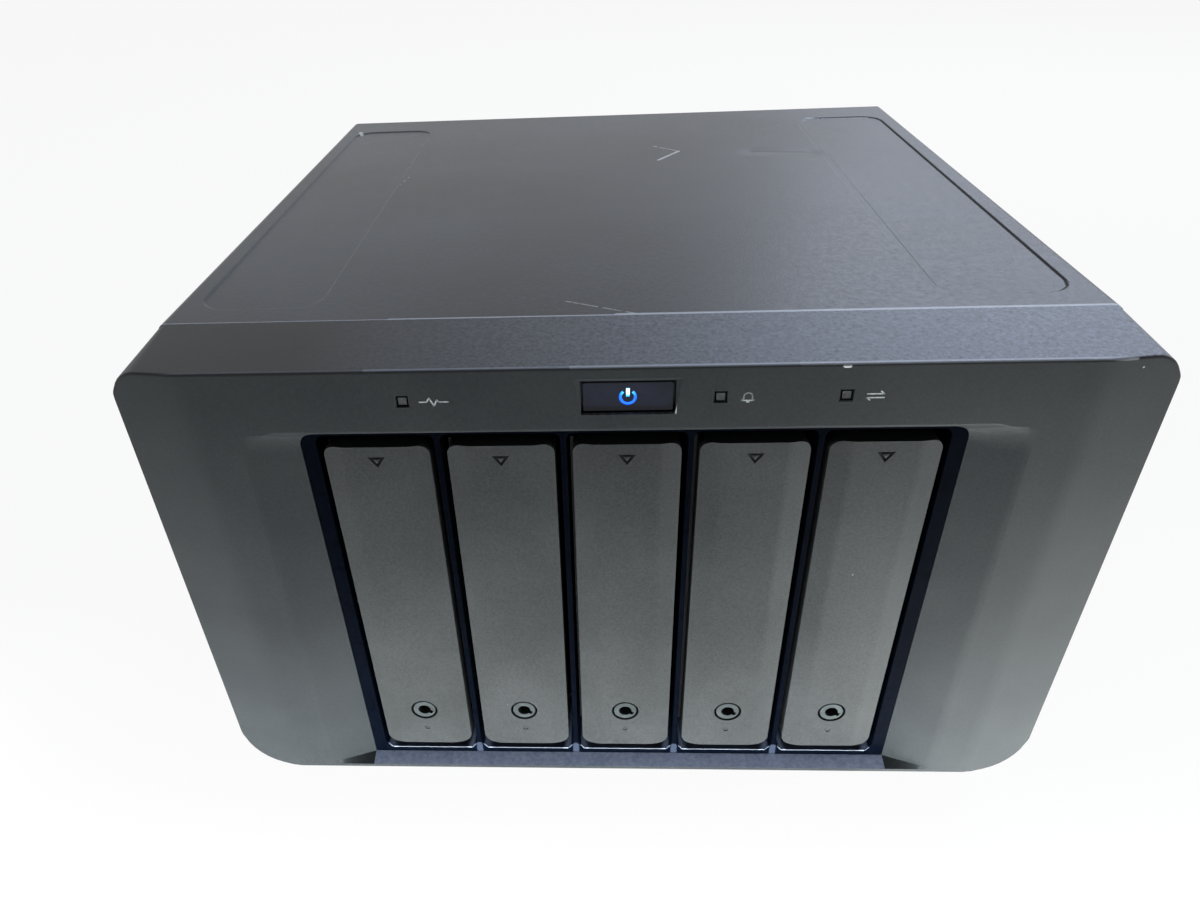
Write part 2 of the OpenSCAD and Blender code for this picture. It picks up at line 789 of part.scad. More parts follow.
// Wires from the power supply through the cage's side to the back of the backplane
module power_lead() {
    color("#1a1a1c") {
        translate([supply_x, lead_y, floor_z + supply_h - supply_wall])
            cylinder(r = lead_r, h = lead_z - floor_z - supply_h + supply_wall, $fn = round_fn);
        translate([supply_x, lead_y, lead_z]) sphere(r = lead_r, $fn = round_fn);
        bar_x(lead_x, supply_x, lead_y, lead_z, lead_r);
        translate([lead_x, lead_y, lead_z]) sphere(r = lead_r, $fn = round_fn);
        bar_y(lead_x, lead_z, lead_r, plug_back_y, lead_y);
    }
    color("#e6e2d6")
        slab(lead_x - lead_plug[0] / 2, lead_x + lead_plug[0] / 2, backplane_back_y, plug_back_y,
             lead_z - lead_plug[2] / 2, lead_z + lead_plug[2] / 2);
}

switch_x = 7;
switch_h = 1.9;

module led_board() {
    color("#1f5a38")
        slab(status_x - 8, link_x + 8, board_y, board_y + board_t, control_z - 5.5, control_z + 4.6);
    color("#e8e6da")
        for (x = [status_x, alert_x, link_x, 0])
            slab(x - 0.8, x + 0.8, board_y - lamp_h, board_y, control_z - 0.6, control_z + 0.6);
    color("#1c1d1f")
        slab(switch_x - 2.2, switch_x + 2.2, board_y - switch_h, board_y, control_z - 2.2, control_z + 2.2);
    color("#9da1a4")
        both_sides()
            slab(40, 46, board_y + board_t, joint_y, control_z - 2, control_z + 2);
}

module lens(x, tint) {
    color(tint) {
        slab(x - lens_w / 2, x + lens_w / 2, front_y + 0.3, lens_back_y,
             control_z - lens_w / 2, control_z + lens_w / 2);
        slab(x - lens_w / 2 - 1, x + lens_w / 2 + 1, pocket_y, pocket_y + flange_t,
             control_z - lens_w / 2 - 1, control_z + lens_w / 2 + 1);
    }
}

module power_button() {
    flange_y = pocket_y + slide_gap;
    color("#0b0c10")
        difference() {
            union() {
                slab(-button_w / 2, button_w / 2, button_y, flange_y, control_z - button_h / 2,
                     control_z + button_h / 2);
                slab(-button_w / 2 - 1.4, button_w / 2 + 1.4, flange_y, flange_y + flange_t,
                     control_z - button_h / 2 - 0.8, control_z + button_h / 2 + 0.8);
                bar_y(switch_x, control_z, 1.5, flange_y,
                      board_y - switch_h - slide_gap - button_travel);
            }
            bar_y(0, control_z, icon_r, button_y - past, flange_y + flange_t + past);
        }
}

module power_icon() {
    color("#1aa7ff")
        bar_y(0, control_z, icon_r, button_y, board_y - lamp_h - slide_gap - button_travel);
}

bore_r = fan_w / 2 - 1.6;
hub_r = 15.2;
strut_y = panel_in_y - 3;
rotor_front_y = fan_front_y + 4.6;
rotor_back_y = strut_y - 0.6;
shaft_r = 1.6;

module fan_frame(x) {
    color("#1b1c1f") {
        difference() {
            slab(x - fan_w / 2, x + fan_w / 2, fan_front_y, panel_in_y, fan_z - fan_w / 2, fan_z + fan_w / 2);
            bar_y(x, fan_z, bore_r, fan_front_y - past, panel_in_y + past);
            for (p = fan_screw_places(x))
                bar_y(p[0], p[1], fan_hole_r, fan_front_y - past, panel_in_y + past);
        }
        bar_y(x, fan_z, hub_r, strut_y, panel_in_y);
        translate([x, 0, fan_z])
            for (turn = [45:90:315])
                rotate([0, turn, 0])
                    slab(hub_r - 1, bore_r + 1, strut_y, panel_in_y, -1.4, 1.4);
    }
    color("#c9ccd0") bar_y(x, fan_z, shaft_r, rotor_front_y + 3, strut_y);
}

blade_count = 7;
blade_pitch = 38;
blade_t = 1.3;

module fan_rotor(x) {
    mid_y = (rotor_front_y + rotor_back_y) / 2;
    color("#26282b")
        translate([x, 0, fan_z])
            difference() {
                union() {
                    bar_y(0, 0, hub_r, rotor_front_y, rotor_back_y);
                    intersection() {
                        for (k = [0:blade_count - 1])
                            rotate([0, k * 360 / blade_count, 0])
                                translate([0, mid_y, 0])
                                    rotate([blade_pitch, 0, 0])
                                        slab(hub_r - 2, bore_r, -blade_t / 2, blade_t / 2, -20, 20);
                        bar_y(0, 0, bore_r - 1, rotor_front_y + 0.5, rotor_back_y - 0.5);
                    }
                }
                bar_y(0, 0, shaft_r + pin_gap, rotor_front_y + 2.5, rotor_back_y + past);
            }
}

module fan_screws() {
    color("#2b2d30")
        for (x = [-fan_x, fan_x], p = fan_screw_places(x)) {
            bar_y(p[0], p[1], fan_head_r, panel_out_y, panel_out_y + head_h);
            bar_y(p[0], p[1], fan_screw_r, panel_in_y - 9, panel_out_y);
        }
}

// Screw patterns of standard drives: along the drive, across it, and the middle's distance behind
// the drive's front end
large_screws = [44.45, drive_h - 6.35, drive_d - 63.5];
small_screws = [76.6, 61.72, drive_d - 52.3];
drive_screw_r = 1.7;

module screw_holes(pattern) {
    for (i = [-1, 1], j = [-1, 1])
        bar_x(carrier_x0 - past, carrier_x0 + carrier_wall + past,
              drive_y + pattern[2] + i * pattern[0] / 2, bay_z + j * pattern[1] / 2, drive_screw_r);
}

ear_x = [8, 10.5];
ear_r = pin_r + 1.2;
post_z = handle_top_z - 12;
lock_z = handle_low_z + lock_up;

module tray_carrier(n) {
    front_z = [carrier_low_z, carrier_top_z];
    color("#2a2c2f")
        translate([bay_x(n), 0, 0]) {
            difference() {
                union() {
                    slab(carrier_x0, carrier_x0 + carrier_wall, carrier_y, carrier_back_y, front_z[0], front_z[1]);
                    slab(carrier_x0, carrier_x1, carrier_y, carrier_back_y, front_z[0], rail_low_z);
                    slab(carrier_x0, carrier_x1, carrier_y, carrier_back_y, rail_top_z, front_z[1]);
                    slab(carrier_x0, carrier_x1, carrier_y, carrier_y + carrier_front, front_z[0], front_z[1]);
                }
                for (z = [carrier_low_z - past, carrier_top_z - slide_gap - ridge_h])
                    slab(-ridge_w / 2 - slide_gap, ridge_w / 2 + slide_gap, carrier_y + 6, carrier_back_y + past,
                         z, z + ridge_h + slide_gap + past);
                screw_holes(large_screws);
                screw_holes(small_screws);
                for (side = [-1, 1])
                    slab(carrier_x0 - past, carrier_x0 + carrier_wall + past, drive_y + 46, drive_y + 104,
                         bay_z + side * 13 - 9, bay_z + side * 13 + 9);
                for (z = [lock_z + 12:7:post_z - 8])
                    slab(-8, 8, carrier_y - past, carrier_y + carrier_front + past, z, z + 3);
            }
            difference() {
                for (side = [0, 1])
                    mirror([side, 0, 0]) {
                        bar_x(ear_x[0], ear_x[1], hinge_y, hinge_z, ear_r);
                        slab(ear_x[0], ear_x[1], hinge_y, carrier_y, hinge_z - ear_r, hinge_z + ear_r);
                    }
                bar_x(-ear_x[1] - past, ear_x[1] + past, hinge_y, hinge_z, pin_r);
            }
            slab(-3, 3, carrier_y - 2.6, carrier_y, post_z - 3, post_z + 3);
        }
}

pin_half = handle_w / 2 - 0.8;

module hinge_pin(n) {
    color("#c9ccd0")
        translate([bay_x(n), 0, 0]) bar_x(-pin_half, pin_half, hinge_y, hinge_z, pin_r);
}

mark_half = 1.65;
mark_h = 2.6;
mark_z = handle_top_z - 3.8;
pipe_r = 0.7;
pipe_z = lock_z - 8.5;

// Small downward triangle pressed into the face, as an outline
module touch_mark() {
    difference() {
        polygon([[-mark_half, mark_h / 2], [mark_half, mark_h / 2], [0, -mark_h / 2]]);
        polygon([[-mark_half * 0.5, mark_h * 0.3], [mark_half * 0.5, mark_h * 0.3], [0, -mark_h * 0.18]]);
    }
}

module tray_handle(n) {
    half = handle_w / 2;
    flat = handle_flat_w / 2;
    inner_y = handle_y + handle_wall;
    color("#565a5c")
        translate([bay_x(n), 0, 0])
            difference() {
                union() {
                    difference() {
                        intersection() {
                            translate([0, 0, handle_low_z - past])
                                linear_extrude(handle_top_z - handle_low_z + 2 * past)
                                    polygon([[-flat, handle_y], [flat, handle_y], [half, handle_y + handle_fall],
                                             [half, handle_back_y], [-half, handle_back_y],
                                             [-half, handle_y + handle_fall]]);
                            slice(handle_y - past, handle_back_y + past)
                                outline(half, handle_low_z, handle_top_z, handle_r, handle_r);
                        }
                        slab(-half + handle_wall, half - handle_wall, inner_y, handle_back_y + past,
                             handle_low_z + handle_wall, handle_top_z - handle_wall);
                        difference() {
                            slab(-half - past, half + past, hinge_y, handle_back_y + past,
                                 handle_low_z - past, hinge_z);
                            bar_x(-half - past, half + past, hinge_y, hinge_z, pin_r + 1.9);
                        }
                    }
                    bar_y(0, lock_z, lock_r + 1.6, inner_y - 0.5, inner_y + 2.6);
                }
                bar_y(0, lock_z, lock_r + pin_gap, handle_y - past, inner_y + 3.6);
                bar_y(0, pipe_z, pipe_r, handle_y - past, inner_y + past);
                bar_x(-pin_half - slide_gap, pin_half + slide_gap, hinge_y, hinge_z, pin_r + pin_gap);
                translate([0, 0, mark_z]) slice(handle_y - past, handle_y + 0.3) touch_mark();
            }
}

module tray_lock(n) {
    barrel_back_y = handle_y + handle_wall + 3.4;
    color("#6d7173")
        translate([bay_x(n), 0, lock_z])
            difference() {
                union() {
                    bar_y(0, 0, lock_r, handle_y + 0.1, barrel_back_y);
                    slab(-1.8, 1.8, barrel_back_y - 0.1, barrel_back_y + 0.9, 0, 7);
                }
                bar_y(0, 0, 1.5, handle_y - past, handle_y + 3.5);
                slab(0, 2.1, handle_y - past, handle_y + 3.5, -0.6, 0.6);
            }
}

module light_pipe(n) {
    color("#9fb8a8")
        translate([bay_x(n), 0, 0]) bar_y(0, pipe_z, pipe_r, handle_y, handle_y + handle_wall + 1.5);
}

front_bezel();
bay_frame();
front_plate();
base_pan();
top_cover();
rear_panel();
cage_side_left();
cage_side_right();
cage_top_plate();
cage_bottom_plate();
guide_rails();
backplane();
drive_sockets();
controller_board();
expansion_port();
board_connector();
power_supply_case();
power_supply_board();
mains_inlet();
power_lead();
led_board();
lens(status_x, "#5e6a5c");  // status_lens
lens(alert_x, "#6a5f52");  // alert_lens
lens(link_x, "#5e6a5c");  // link_lens
power_button();
power_icon();
fan_frame(-fan_x);  // fan_frame_left
fan_frame(fan_x);  // fan_frame_right
fan_rotor(-fan_x);  // fan_rotor_left
fan_rotor(fan_x);  // fan_rotor_right
fan_screws();
cover_screws();
board_screws();
security_slot_plate();
rubber_feet();
for (n = bays) {
    tray_carrier(n);
    tray_handle(n);
    tray_lock(n);
    hinge_pin(n);
    light_pipe(n);
}
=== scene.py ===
# Desktop drive enclosure with five trays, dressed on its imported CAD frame.
import math

import bmesh
import bpy
from mathutils import Matrix, Vector


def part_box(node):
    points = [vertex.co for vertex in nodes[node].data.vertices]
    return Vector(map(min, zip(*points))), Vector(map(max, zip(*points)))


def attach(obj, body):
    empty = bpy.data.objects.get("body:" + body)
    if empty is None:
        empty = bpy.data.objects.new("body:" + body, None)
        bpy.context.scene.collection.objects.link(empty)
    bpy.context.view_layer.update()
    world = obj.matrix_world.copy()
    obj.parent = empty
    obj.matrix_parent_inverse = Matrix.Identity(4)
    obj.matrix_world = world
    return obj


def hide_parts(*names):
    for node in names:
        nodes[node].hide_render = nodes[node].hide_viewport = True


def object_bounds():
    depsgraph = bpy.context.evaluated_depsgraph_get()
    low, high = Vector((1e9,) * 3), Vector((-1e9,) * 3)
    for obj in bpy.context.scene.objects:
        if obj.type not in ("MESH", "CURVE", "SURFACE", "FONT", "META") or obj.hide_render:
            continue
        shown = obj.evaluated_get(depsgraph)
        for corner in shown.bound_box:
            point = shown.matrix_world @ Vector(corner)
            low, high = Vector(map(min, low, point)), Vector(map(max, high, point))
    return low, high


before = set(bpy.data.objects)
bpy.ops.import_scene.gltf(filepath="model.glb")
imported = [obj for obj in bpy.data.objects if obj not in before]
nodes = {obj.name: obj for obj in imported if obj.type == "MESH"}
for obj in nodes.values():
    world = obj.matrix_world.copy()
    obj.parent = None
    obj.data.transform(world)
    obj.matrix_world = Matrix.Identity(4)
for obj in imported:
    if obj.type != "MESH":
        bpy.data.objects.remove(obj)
cadLow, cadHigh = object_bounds()
mm = 0.001
bays = (1, 2, 3, 4, 5)


def toLinear(hexText):
    # sRGB hex to the linear colour that a shader reads
    parts = [int(hexText[i:i + 2], 16) / 255 for i in (1, 3, 5)]
    return tuple(p / 12.92 if p <= 0.04045 else ((p + 0.055) / 1.055) ** 2.4 for p in parts) + (1,)


def addNode(tree, kind, inputs=None, stops=None, **settings):
    # one node with its settings, its values and the links that come into it
    node = tree.nodes.new(kind)
    for name, value in settings.items():
        setattr(node, name, value)
    for name, value in (inputs or {}).items():
        if isinstance(value, bpy.types.NodeSocket):
            tree.links.new(value, node.inputs[name])
        else:
            node.inputs[name].default_value = value
    for nth, (at, colour) in enumerate(stops or []):
        ramp = node.color_ramp.elements
        stop = ramp[nth] if nth < len(ramp) else ramp.new(at)
        stop.position, stop.color = at, toLinear(colour)
    return node


def newMaterial(name, **uniform):
    # an empty principled material with its uniform values set, and the place of a point on the piece
    material = bpy.data.materials.new(name)
    material.use_nodes = True
    tree = material.node_tree
    shader = tree.nodes["Principled BSDF"]
    for socket, value in uniform.items():
        shader.inputs[socket.replace("_", " ")].default_value = value
    return material, tree, shader, addNode(tree, "ShaderNodeTexCoord").outputs["Object"]


def coat(tree, shader, value, stops, gloss=None, relief=None, **under):
    # what finishes share: tones by a value, a roughness by another, and a relief in millimetres
    parts = {"Base Color": addNode(tree, "ShaderNodeValToRGB", {"Fac": value}, stops).outputs["Color"]}
    if gloss:
        inputs = dict(zip(("Value", "From Min", "From Max", "To Min", "To Max"), gloss))
        parts["Roughness"] = addNode(tree, "ShaderNodeMapRange", inputs).outputs["Result"]
    if relief:
        inputs = {"Height": relief[0], "Distance": relief[1] * mm, **under}
        parts["Normal"] = addNode(tree, "ShaderNodeBump", inputs).outputs["Normal"]
    for socket, part in parts.items():
        tree.links.new(part, shader.inputs[socket])


def mouldedPlastic(name, colour, paler, roughness, grain=0.5, depth=0.012, cloud=24, dust=None, **uniform):
    # the eroded grain of the mould gives a satin face with a faintly cloudy tone; dust lies on some
    material, tree, shader, spot = newMaterial(name, IOR=1.53, **uniform)
    clouds, pits = [addNode(tree, "ShaderNodeTexNoise", {"Vector": spot, "Scale": 1 / (size * mm),
                                                         "Detail": detail}).outputs["Fac"]
                    for size, detail in ((cloud, 4.0), (grain, 3.0))]
    both = addNode(tree, "ShaderNodeMix", {0: 0.6, 2: clouds, 3: pits})
    coat(tree, shader, both.outputs[0], ((0.36, colour), (0.64, paler)),
         (pits, 0.3, 0.7, roughness - 0.05, roughness + 0.06), (pits, depth))
    if dust:
        *some, tone = dust
        worn(tree, shader, specks(tree, spot, *some), tone, 0.6)
    return material, tree, shader, spot


def worn(tree, shader, mask, colour, roughness):
    # lays a bare, scuffed or dusty tone, or a painted highlight, sheen or shade, over the base colour and the
    # roughness where the mask is 1
    for socket, kind, value in (("Base Color", "RGBA", toLinear(colour)), ("Roughness", "FLOAT", roughness)):
        below = shader.inputs[socket].links[0].from_socket
        first = 6 if kind == "RGBA" else 2
        mixed = addNode(tree, "ShaderNodeMix", {0: mask, first: below, first + 1: value}, data_type=kind)
        tree.links.new(mixed.outputs[2 if kind == "RGBA" else 0], shader.inputs[socket])


def nearLine(tree, spot, start, end, width, soft):
    # 1 on the line between two points, fading to 0 over the soft distance, all in millimetres
    start, end = Vector(start) * mm, Vector(end) * mm
    along = end - start
    fromStart = addNode(tree, "ShaderNodeVectorMath", {0: spot, 1: start}, operation="SUBTRACT")
    reach = addNode(tree, "ShaderNodeVectorMath", {0: fromStart.outputs[0], 1: along / along.length_squared},
                    operation="DOT_PRODUCT")
    part = addNode(tree, "ShaderNodeClamp", {"Value": reach.outputs["Value"]})
    nearest = addNode(tree, "ShaderNodeVectorMath", {0: along, "Scale": part.outputs[0]}, operation="SCALE")
    off = addNode(tree, "ShaderNodeVectorMath", {0: fromStart.outputs[0], 1: nearest.outputs[0]},
                  operation="DISTANCE")
    return addNode(tree, "ShaderNodeMapRange", {"Value": off.outputs["Value"], "From Min": (width + soft) * mm,
                                                "From Max": width * mm},
                   interpolation_type="SMOOTHSTEP").outputs["Result"]


def broken(tree, spot, mask, size, share):
    # breaks a mask up with noise of the given size, leaving about the given share of it
    spots = addNode(tree, "ShaderNodeTexNoise", {"Vector": spot, "Scale": 1 / (size * mm), "Detail": 4.0})
    keep = addNode(tree, "ShaderNodeMapRange", {"Value": spots.outputs["Fac"], "From Min": 0.62 - share * 0.3,
                                                "From Max": 0.7 - share * 0.3})
    return addNode(tree, "ShaderNodeMath", {0: mask, 1: keep.outputs["Result"]},
                   operation="MULTIPLY").outputs[0]


def specks(tree, spot, size, spacing, share):
    # small round specks of dust or chips, one in some of the cells of the spacing
    cells = addNode(tree, "ShaderNodeTexVoronoi", {"Vector": spot, "Scale": 1 / (spacing * mm)})
    chosen = addNode(tree, "ShaderNodeSeparateColor", {"Color": cells.outputs["Color"]})
    some = addNode(tree, "ShaderNodeMath", {0: chosen.outputs["Red"], 1: 1 - share}, operation="GREATER_THAN")
    near = addNode(tree, "ShaderNodeMath", {0: cells.outputs["Distance"], 1: size / spacing},
                   operation="LESS_THAN")
    return addNode(tree, "ShaderNodeMath", {0: some.outputs[0], 1: near.outputs[0]},
                   operation="MULTIPLY").outputs[0]


def marked(tree, shader, spot, start, end, width, soft, tone, roughness, size=0, share=0):
    # a line of laid tone, for a scratch and also for a painted highlight or shade line, broken up where a size is
    # given
    line = nearLine(tree, spot, start, end, width, soft)
    worn(tree, shader, broken(tree, spot, line, size, share) if size else line, tone, roughness)


def facingUp(tree, some, full):
    # 0 to 1 as the surface turns to face up
    normal = addNode(tree, "ShaderNodeNewGeometry").outputs["Normal"]
    height = addNode(tree, "ShaderNodeSeparateXYZ", {"Vector": normal}).outputs["Z"]
    return addNode(tree, "ShaderNodeMapRange", {"Value": height, "From Min": some,
                                                "From Max": full}).outputs["Result"]


# painted highlights along the front's top edge, brighter towards the right where the light falls, one chip, and a
# painted highlight on the right wall of the key's recess, measured from its top: start, end, half width, share
# that shows, tone
bezelHighlightsAndChip = [
    ((-112, -120.9, -1.2), (-60, -120.9, -1.2), 0.1, 1.3, "#50565f"),
    ((-61, -120.8, -1.2), (-12, -120.8, -1.2), 0.25, 1.3, "#8b919c"),
    ((-13, -120.8, -1.2), (40, -120.8, -1.2), 0.35, 1.3, "#c9ced8"),
    ((39, -120.8, -1.2), (112, -120.8, -1.2), 0.4, 1.3, "#e8ecf2"),
    ((48.6, -121.5, -1.6), (49.5, -121.5, -1.6), 0.4, 1.2, "#f2f4f6"),
    ((11.05, -121.4, -13.4), (11.05, -121.4, -5.6), 0.12, 1.0, "#d6d9de")]
# a painted sheen on the sloping top, growing towards the right: none and full across, none and full in height,
# size of its mottling, tone
crownSheen = {"across": (-80, 90), "height": (100, 110), "size": 1.1, "tone": "#c3cad8"}


def bezelMaterial():
    # charcoal ABS with an eroded grain: satin, soft broad reflections, painted highlights along its top edges and
    # a painted sheen on its sloping top
    material, tree, shader, spot = mouldedPlastic("mouldedAbsCharcoal", "#212427", "#2c2f31", 0.46,
                                                  grain=0.6, depth=0.03, Specular_IOR_Level=0.22)
    top = Vector((0, 0, cadHigh.z / mm))
    # painted highlights along the top edges and on the key recess's right wall, with one chip
    for start, end, width, share, tone in bezelHighlightsAndChip:
        marked(tree, shader, spot, Vector(start) + top, Vector(end) + top, width, 0.3, tone, 0.4, 2.5, share)
    # painted sheen: pale where the top faces up, stronger to the right, broken by mottling
    place = addNode(tree, "ShaderNodeSeparateXYZ", {"Vector": spot})
    mottle = addNode(tree, "ShaderNodeTexNoise", {"Vector": spot, "Scale": 1 / (crownSheen["size"] * mm),
                                                  "Detail": 5.0, "Roughness": 0.75})
    crownSheenMask = facingUp(tree, 0.7, 0.95)
    for value, (low, high) in ((place.outputs["X"], Vector(crownSheen["across"]) * mm),
                               (place.outputs["Z"], Vector(crownSheen["height"]) * mm),
                               (mottle.outputs["Fac"], (0.25, 0.7))):
        part = addNode(tree, "ShaderNodeMapRange", {"Value": value, "From Min": low, "From Max": high})
        crownSheenMask = addNode(tree, "ShaderNodeMath", {0: crownSheenMask, 1: part.outputs["Result"]},
                       operation="MULTIPLY").outputs[0]
    worn(tree, shader, crownSheenMask, crownSheen["tone"], 0.5)
    worn(tree, shader, specks(tree, spot, 0.28, 17, 0.5), "#9aa0a6", 0.6)
    return material


# the frame in front: how far below a handle its sill lies, and how far beside it a divider's middle
sillDown, dividerAside = 3.8, 2.2


def frameMaterial():
    # black ABS from a polished tool: deep and glossy, with a painted bluish reflection where it faces up and
    # painted highlights along its sills
    material, tree, shader, spot = mouldedPlastic("polishedAbsBlack", "#02040a", "#04070f", 0.3, grain=3,
                                                  depth=0.004, Specular_IOR_Level=0.01)
    # painted bluish reflection on what faces up
    worn(tree, shader, facingUp(tree, 0.55, 0.9), "#474e61", 0.5)
    front = nodeBox("bay_frame")[0].y
    for n in bays:
        low, high = nodeBox(f"tray_handle_{n}")
        sill = low.z - sillDown
        # painted highlights along each sill and its two upturned ends
        for start, end, tone in (
                ((low.x + 0.6, front, sill), (high.x - 0.4, front, sill), "#9299a8"),
                ((low.x + 0.3, front, sill + 0.15), (low.x - 0.7, front, sill + 1.6), "#6a7181"),
                ((high.x - 0.1, front, sill + 0.15), (high.x + 0.9, front, sill + 1.6), "#4d5464")):
            marked(tree, shader, spot, start, end, 0.03, 0.2, tone, 0.4)
        if n < bays[-1]:
            x = high.x + dividerAside
            marked(tree, shader, spot, (x, front, sill - 2), (x, front, sill + 1.6), 0.7, 0.5, "#2b313f", 0.5)
    return material


# scratches on the cover, and painted glints on the back corner of the left pressed panel and the back edge of the
# right one: start, end, half width, share that shows, tone
scratchesAndGlints = [
    ((15.6, 63.2), (25, 54.6), 0.2, 0.7, "#b4b8ba"), ((25, 54.6), (16.4, 42.8), 0.5, 1.0, "#dcdfe0"),
    # the second entry here is a painted glint at the left panel's back corner
    ((-15, -87), (4.3, -96), 0.15, 0.9, "#aeb2b6"), ((-112, 98), (-113.6, 102), 0.7, 1.0, "#eceeee"),
    ((-78, 30), (-96, -62), 0.12, 0.45, "#7d8285"), ((78.5, 92), (78, -50), 0.02, 0.8, "#4c5154"),
    # a painted glint along the right panel's back edge
    ((84, 101.6), (110, 100.2), 0.3, 0.9, "#d9dcde")]
# painted shade in the edge of the right pressed panel: start, end, half width
grime = [
    ((114, -79.5), (114, 94), 0.26), ((114, -79.5), (113, -83.3), 0.24), ((113, -83.3), (110.3, -86), 0.18),
    ((110.3, -86), (106.5, -87), 0.05), ((114, 94), (113, 97.8), 0.2), ((113, 97.8), (110.3, 100.5), 0.15)]
# a dent, with a painted shade on its dark side and a painted highlight on its pale side: start, end, half width,
# soft edge, tone
dent = {"from": (54, 51), "to": (74, 47.5), "soft": 8, "depth": 0.35}
dentShadeAndHighlight = [((53, 51.2), (73, 47.6), 0.1, 1.1, "#0c0e10"), ((56, 48), (74, 44.6), 0.2, 3, "#5a6064")]
# painted highlight along the front edge, wider towards the right where the light falls: start, end, half width
frontEdgeHighlight = [((-120, -96), (-58, -96), 0.02), ((-60, -96), (0, -96), 0.3), ((-2, -96), (120, -96), 0.8)]


def coverMaterial():
    # steel with a baked dark grey texture paint: fine mottled skin, scratched through to bright metal, with
    # painted glints and shade at the pressed panels' edges, a dent with painted shade and highlight, and a painted
    # highlight along its front edge
    material, tree, shader, spot = newMaterial("texturePaintedSteel", IOR=1.5, Specular_IOR_Level=0.24)
    mottle = addNode(tree, "ShaderNodeTexNoise", {"Vector": spot, "Scale": 1 / (1.6 * mm), "Detail": 6.0,
                                                  "Roughness": 0.7}).outputs["Fac"]
    drift = addNode(tree, "ShaderNodeTexNoise", {"Vector": spot, "Scale": 1 / (60 * mm), "Detail": 3.0})
    both = addNode(tree, "ShaderNodeMix", {0: 0.35, 2: mottle, 3: drift.outputs["Fac"]})
    peel = addNode(tree, "ShaderNodeTexNoise", {"Vector": spot, "Scale": 1 / (0.7 * mm), "Detail": 3.0})
    top = cadHigh.z / mm
    pressed = nearLine(tree, spot, (*dent["from"], top), (*dent["to"], top), 0, dent["soft"])
    dented = addNode(tree, "ShaderNodeBump", {"Height": pressed, "Distance": dent["depth"] * mm}, invert=True)
    coat(tree, shader, both.outputs[0], ((0.4, "#22272c"), (0.6, "#434a52")), (mottle, 0.3, 0.7, 0.3, 0.46),
         (peel.outputs["Fac"], 0.045), Normal=dented.outputs["Normal"])
    # scratches and painted glints, painted shade at the right panel's edge, the dent's painted shade and
    # highlight, and the painted highlight along the front edge
    marks = [(*line[:3], 0.25, line[4], 0.35, top, 1.5, line[3]) for line in scratchesAndGlints]
    marks += [(*line, 0.2, "#050607", 0.8, top - 0.2) for line in grime]
    marks += [(*line, 0.45, top) for line in dentShadeAndHighlight]
    marks += [(*line, 0.4, "#e2e7ee", 0.35, top) for line in frontEdgeHighlight]
    for start, end, width, soft, tone, roughness, z, *parts in marks:
        marked(tree, shader, spot, (*start, z), (*end, z), width, soft, tone, roughness, *parts)
    worn(tree, shader, specks(tree, spot, 0.35, 24, 0.35), "#9da2a6", 0.6)
    return material


def sheetMetal(name, colour, paler, roughness, scale, metallic=1.0, bumpDepth=0.01):
    # bare, plated or painted sheet metal whose tone wanders over patches of the given size
    material, tree, shader, spot = newMaterial(name, Metallic=metallic)
    patches = addNode(tree, "ShaderNodeTexVoronoi", {"Vector": spot, "Scale": 1 / (scale * mm)})
    cloud = addNode(tree, "ShaderNodeTexNoise", {"Vector": spot, "Scale": 2.5 / (scale * mm),
                                                 "Detail": 4.0}).outputs["Fac"]
    patchTone = addNode(tree, "ShaderNodeSeparateColor", {"Color": patches.outputs["Color"]})
    both = addNode(tree, "ShaderNodeMix", {0: 0.5, 2: patchTone.outputs["Red"], 3: cloud}).outputs[0]
    coat(tree, shader, both, ((0.2, colour), (0.8, paler)), (both, 0, 1, roughness - 0.06, roughness + 0.08),
         (cloud, bumpDepth))
    return material


def boardMaterial():
    # green solder mask over copper tracks: glossy lacquer with slightly raised, paler tracks
    material, tree, shader, spot = newMaterial("solderMaskGreen", IOR=1.52, Roughness=0.28)
    tracks = addNode(tree, "ShaderNodeTexVoronoi", {"Vector": spot, "Scale": 1 / (4 * mm), "Randomness": 0.55},
                     distance="MANHATTAN", feature="F1")
    bands = addNode(tree, "ShaderNodeMath", {0: tracks.outputs["Distance"], 1: 0.16}, operation="PINGPONG")
    onTrack = addNode(tree, "ShaderNodeMapRange", {"Value": bands.outputs[0], "From Min": 0.07,
                                                   "From Max": 0.09}).outputs["Result"]
    coat(tree, shader, onTrack, ((0.0, "#123a24"), (1.0, "#1f5a36")), relief=(onTrack, 0.035))
    return material


def lensMaterial():
    # smoke-tinted acrylic over an unlit lamp: glossy, hazier towards its middle
    material, tree, shader, spot = newMaterial("smokedAcrylic", Roughness=0.12, IOR=1.49, Coat_Weight=0.3)
    cloudy = addNode(tree, "ShaderNodeTexNoise", {"Vector": spot, "Scale": 1 / (1.2 * mm), "Detail": 2.0})
    coat(tree, shader, cloudy.outputs["Fac"], ((0.3, "#1d2124"), (0.7, "#3a4044")))
    return material


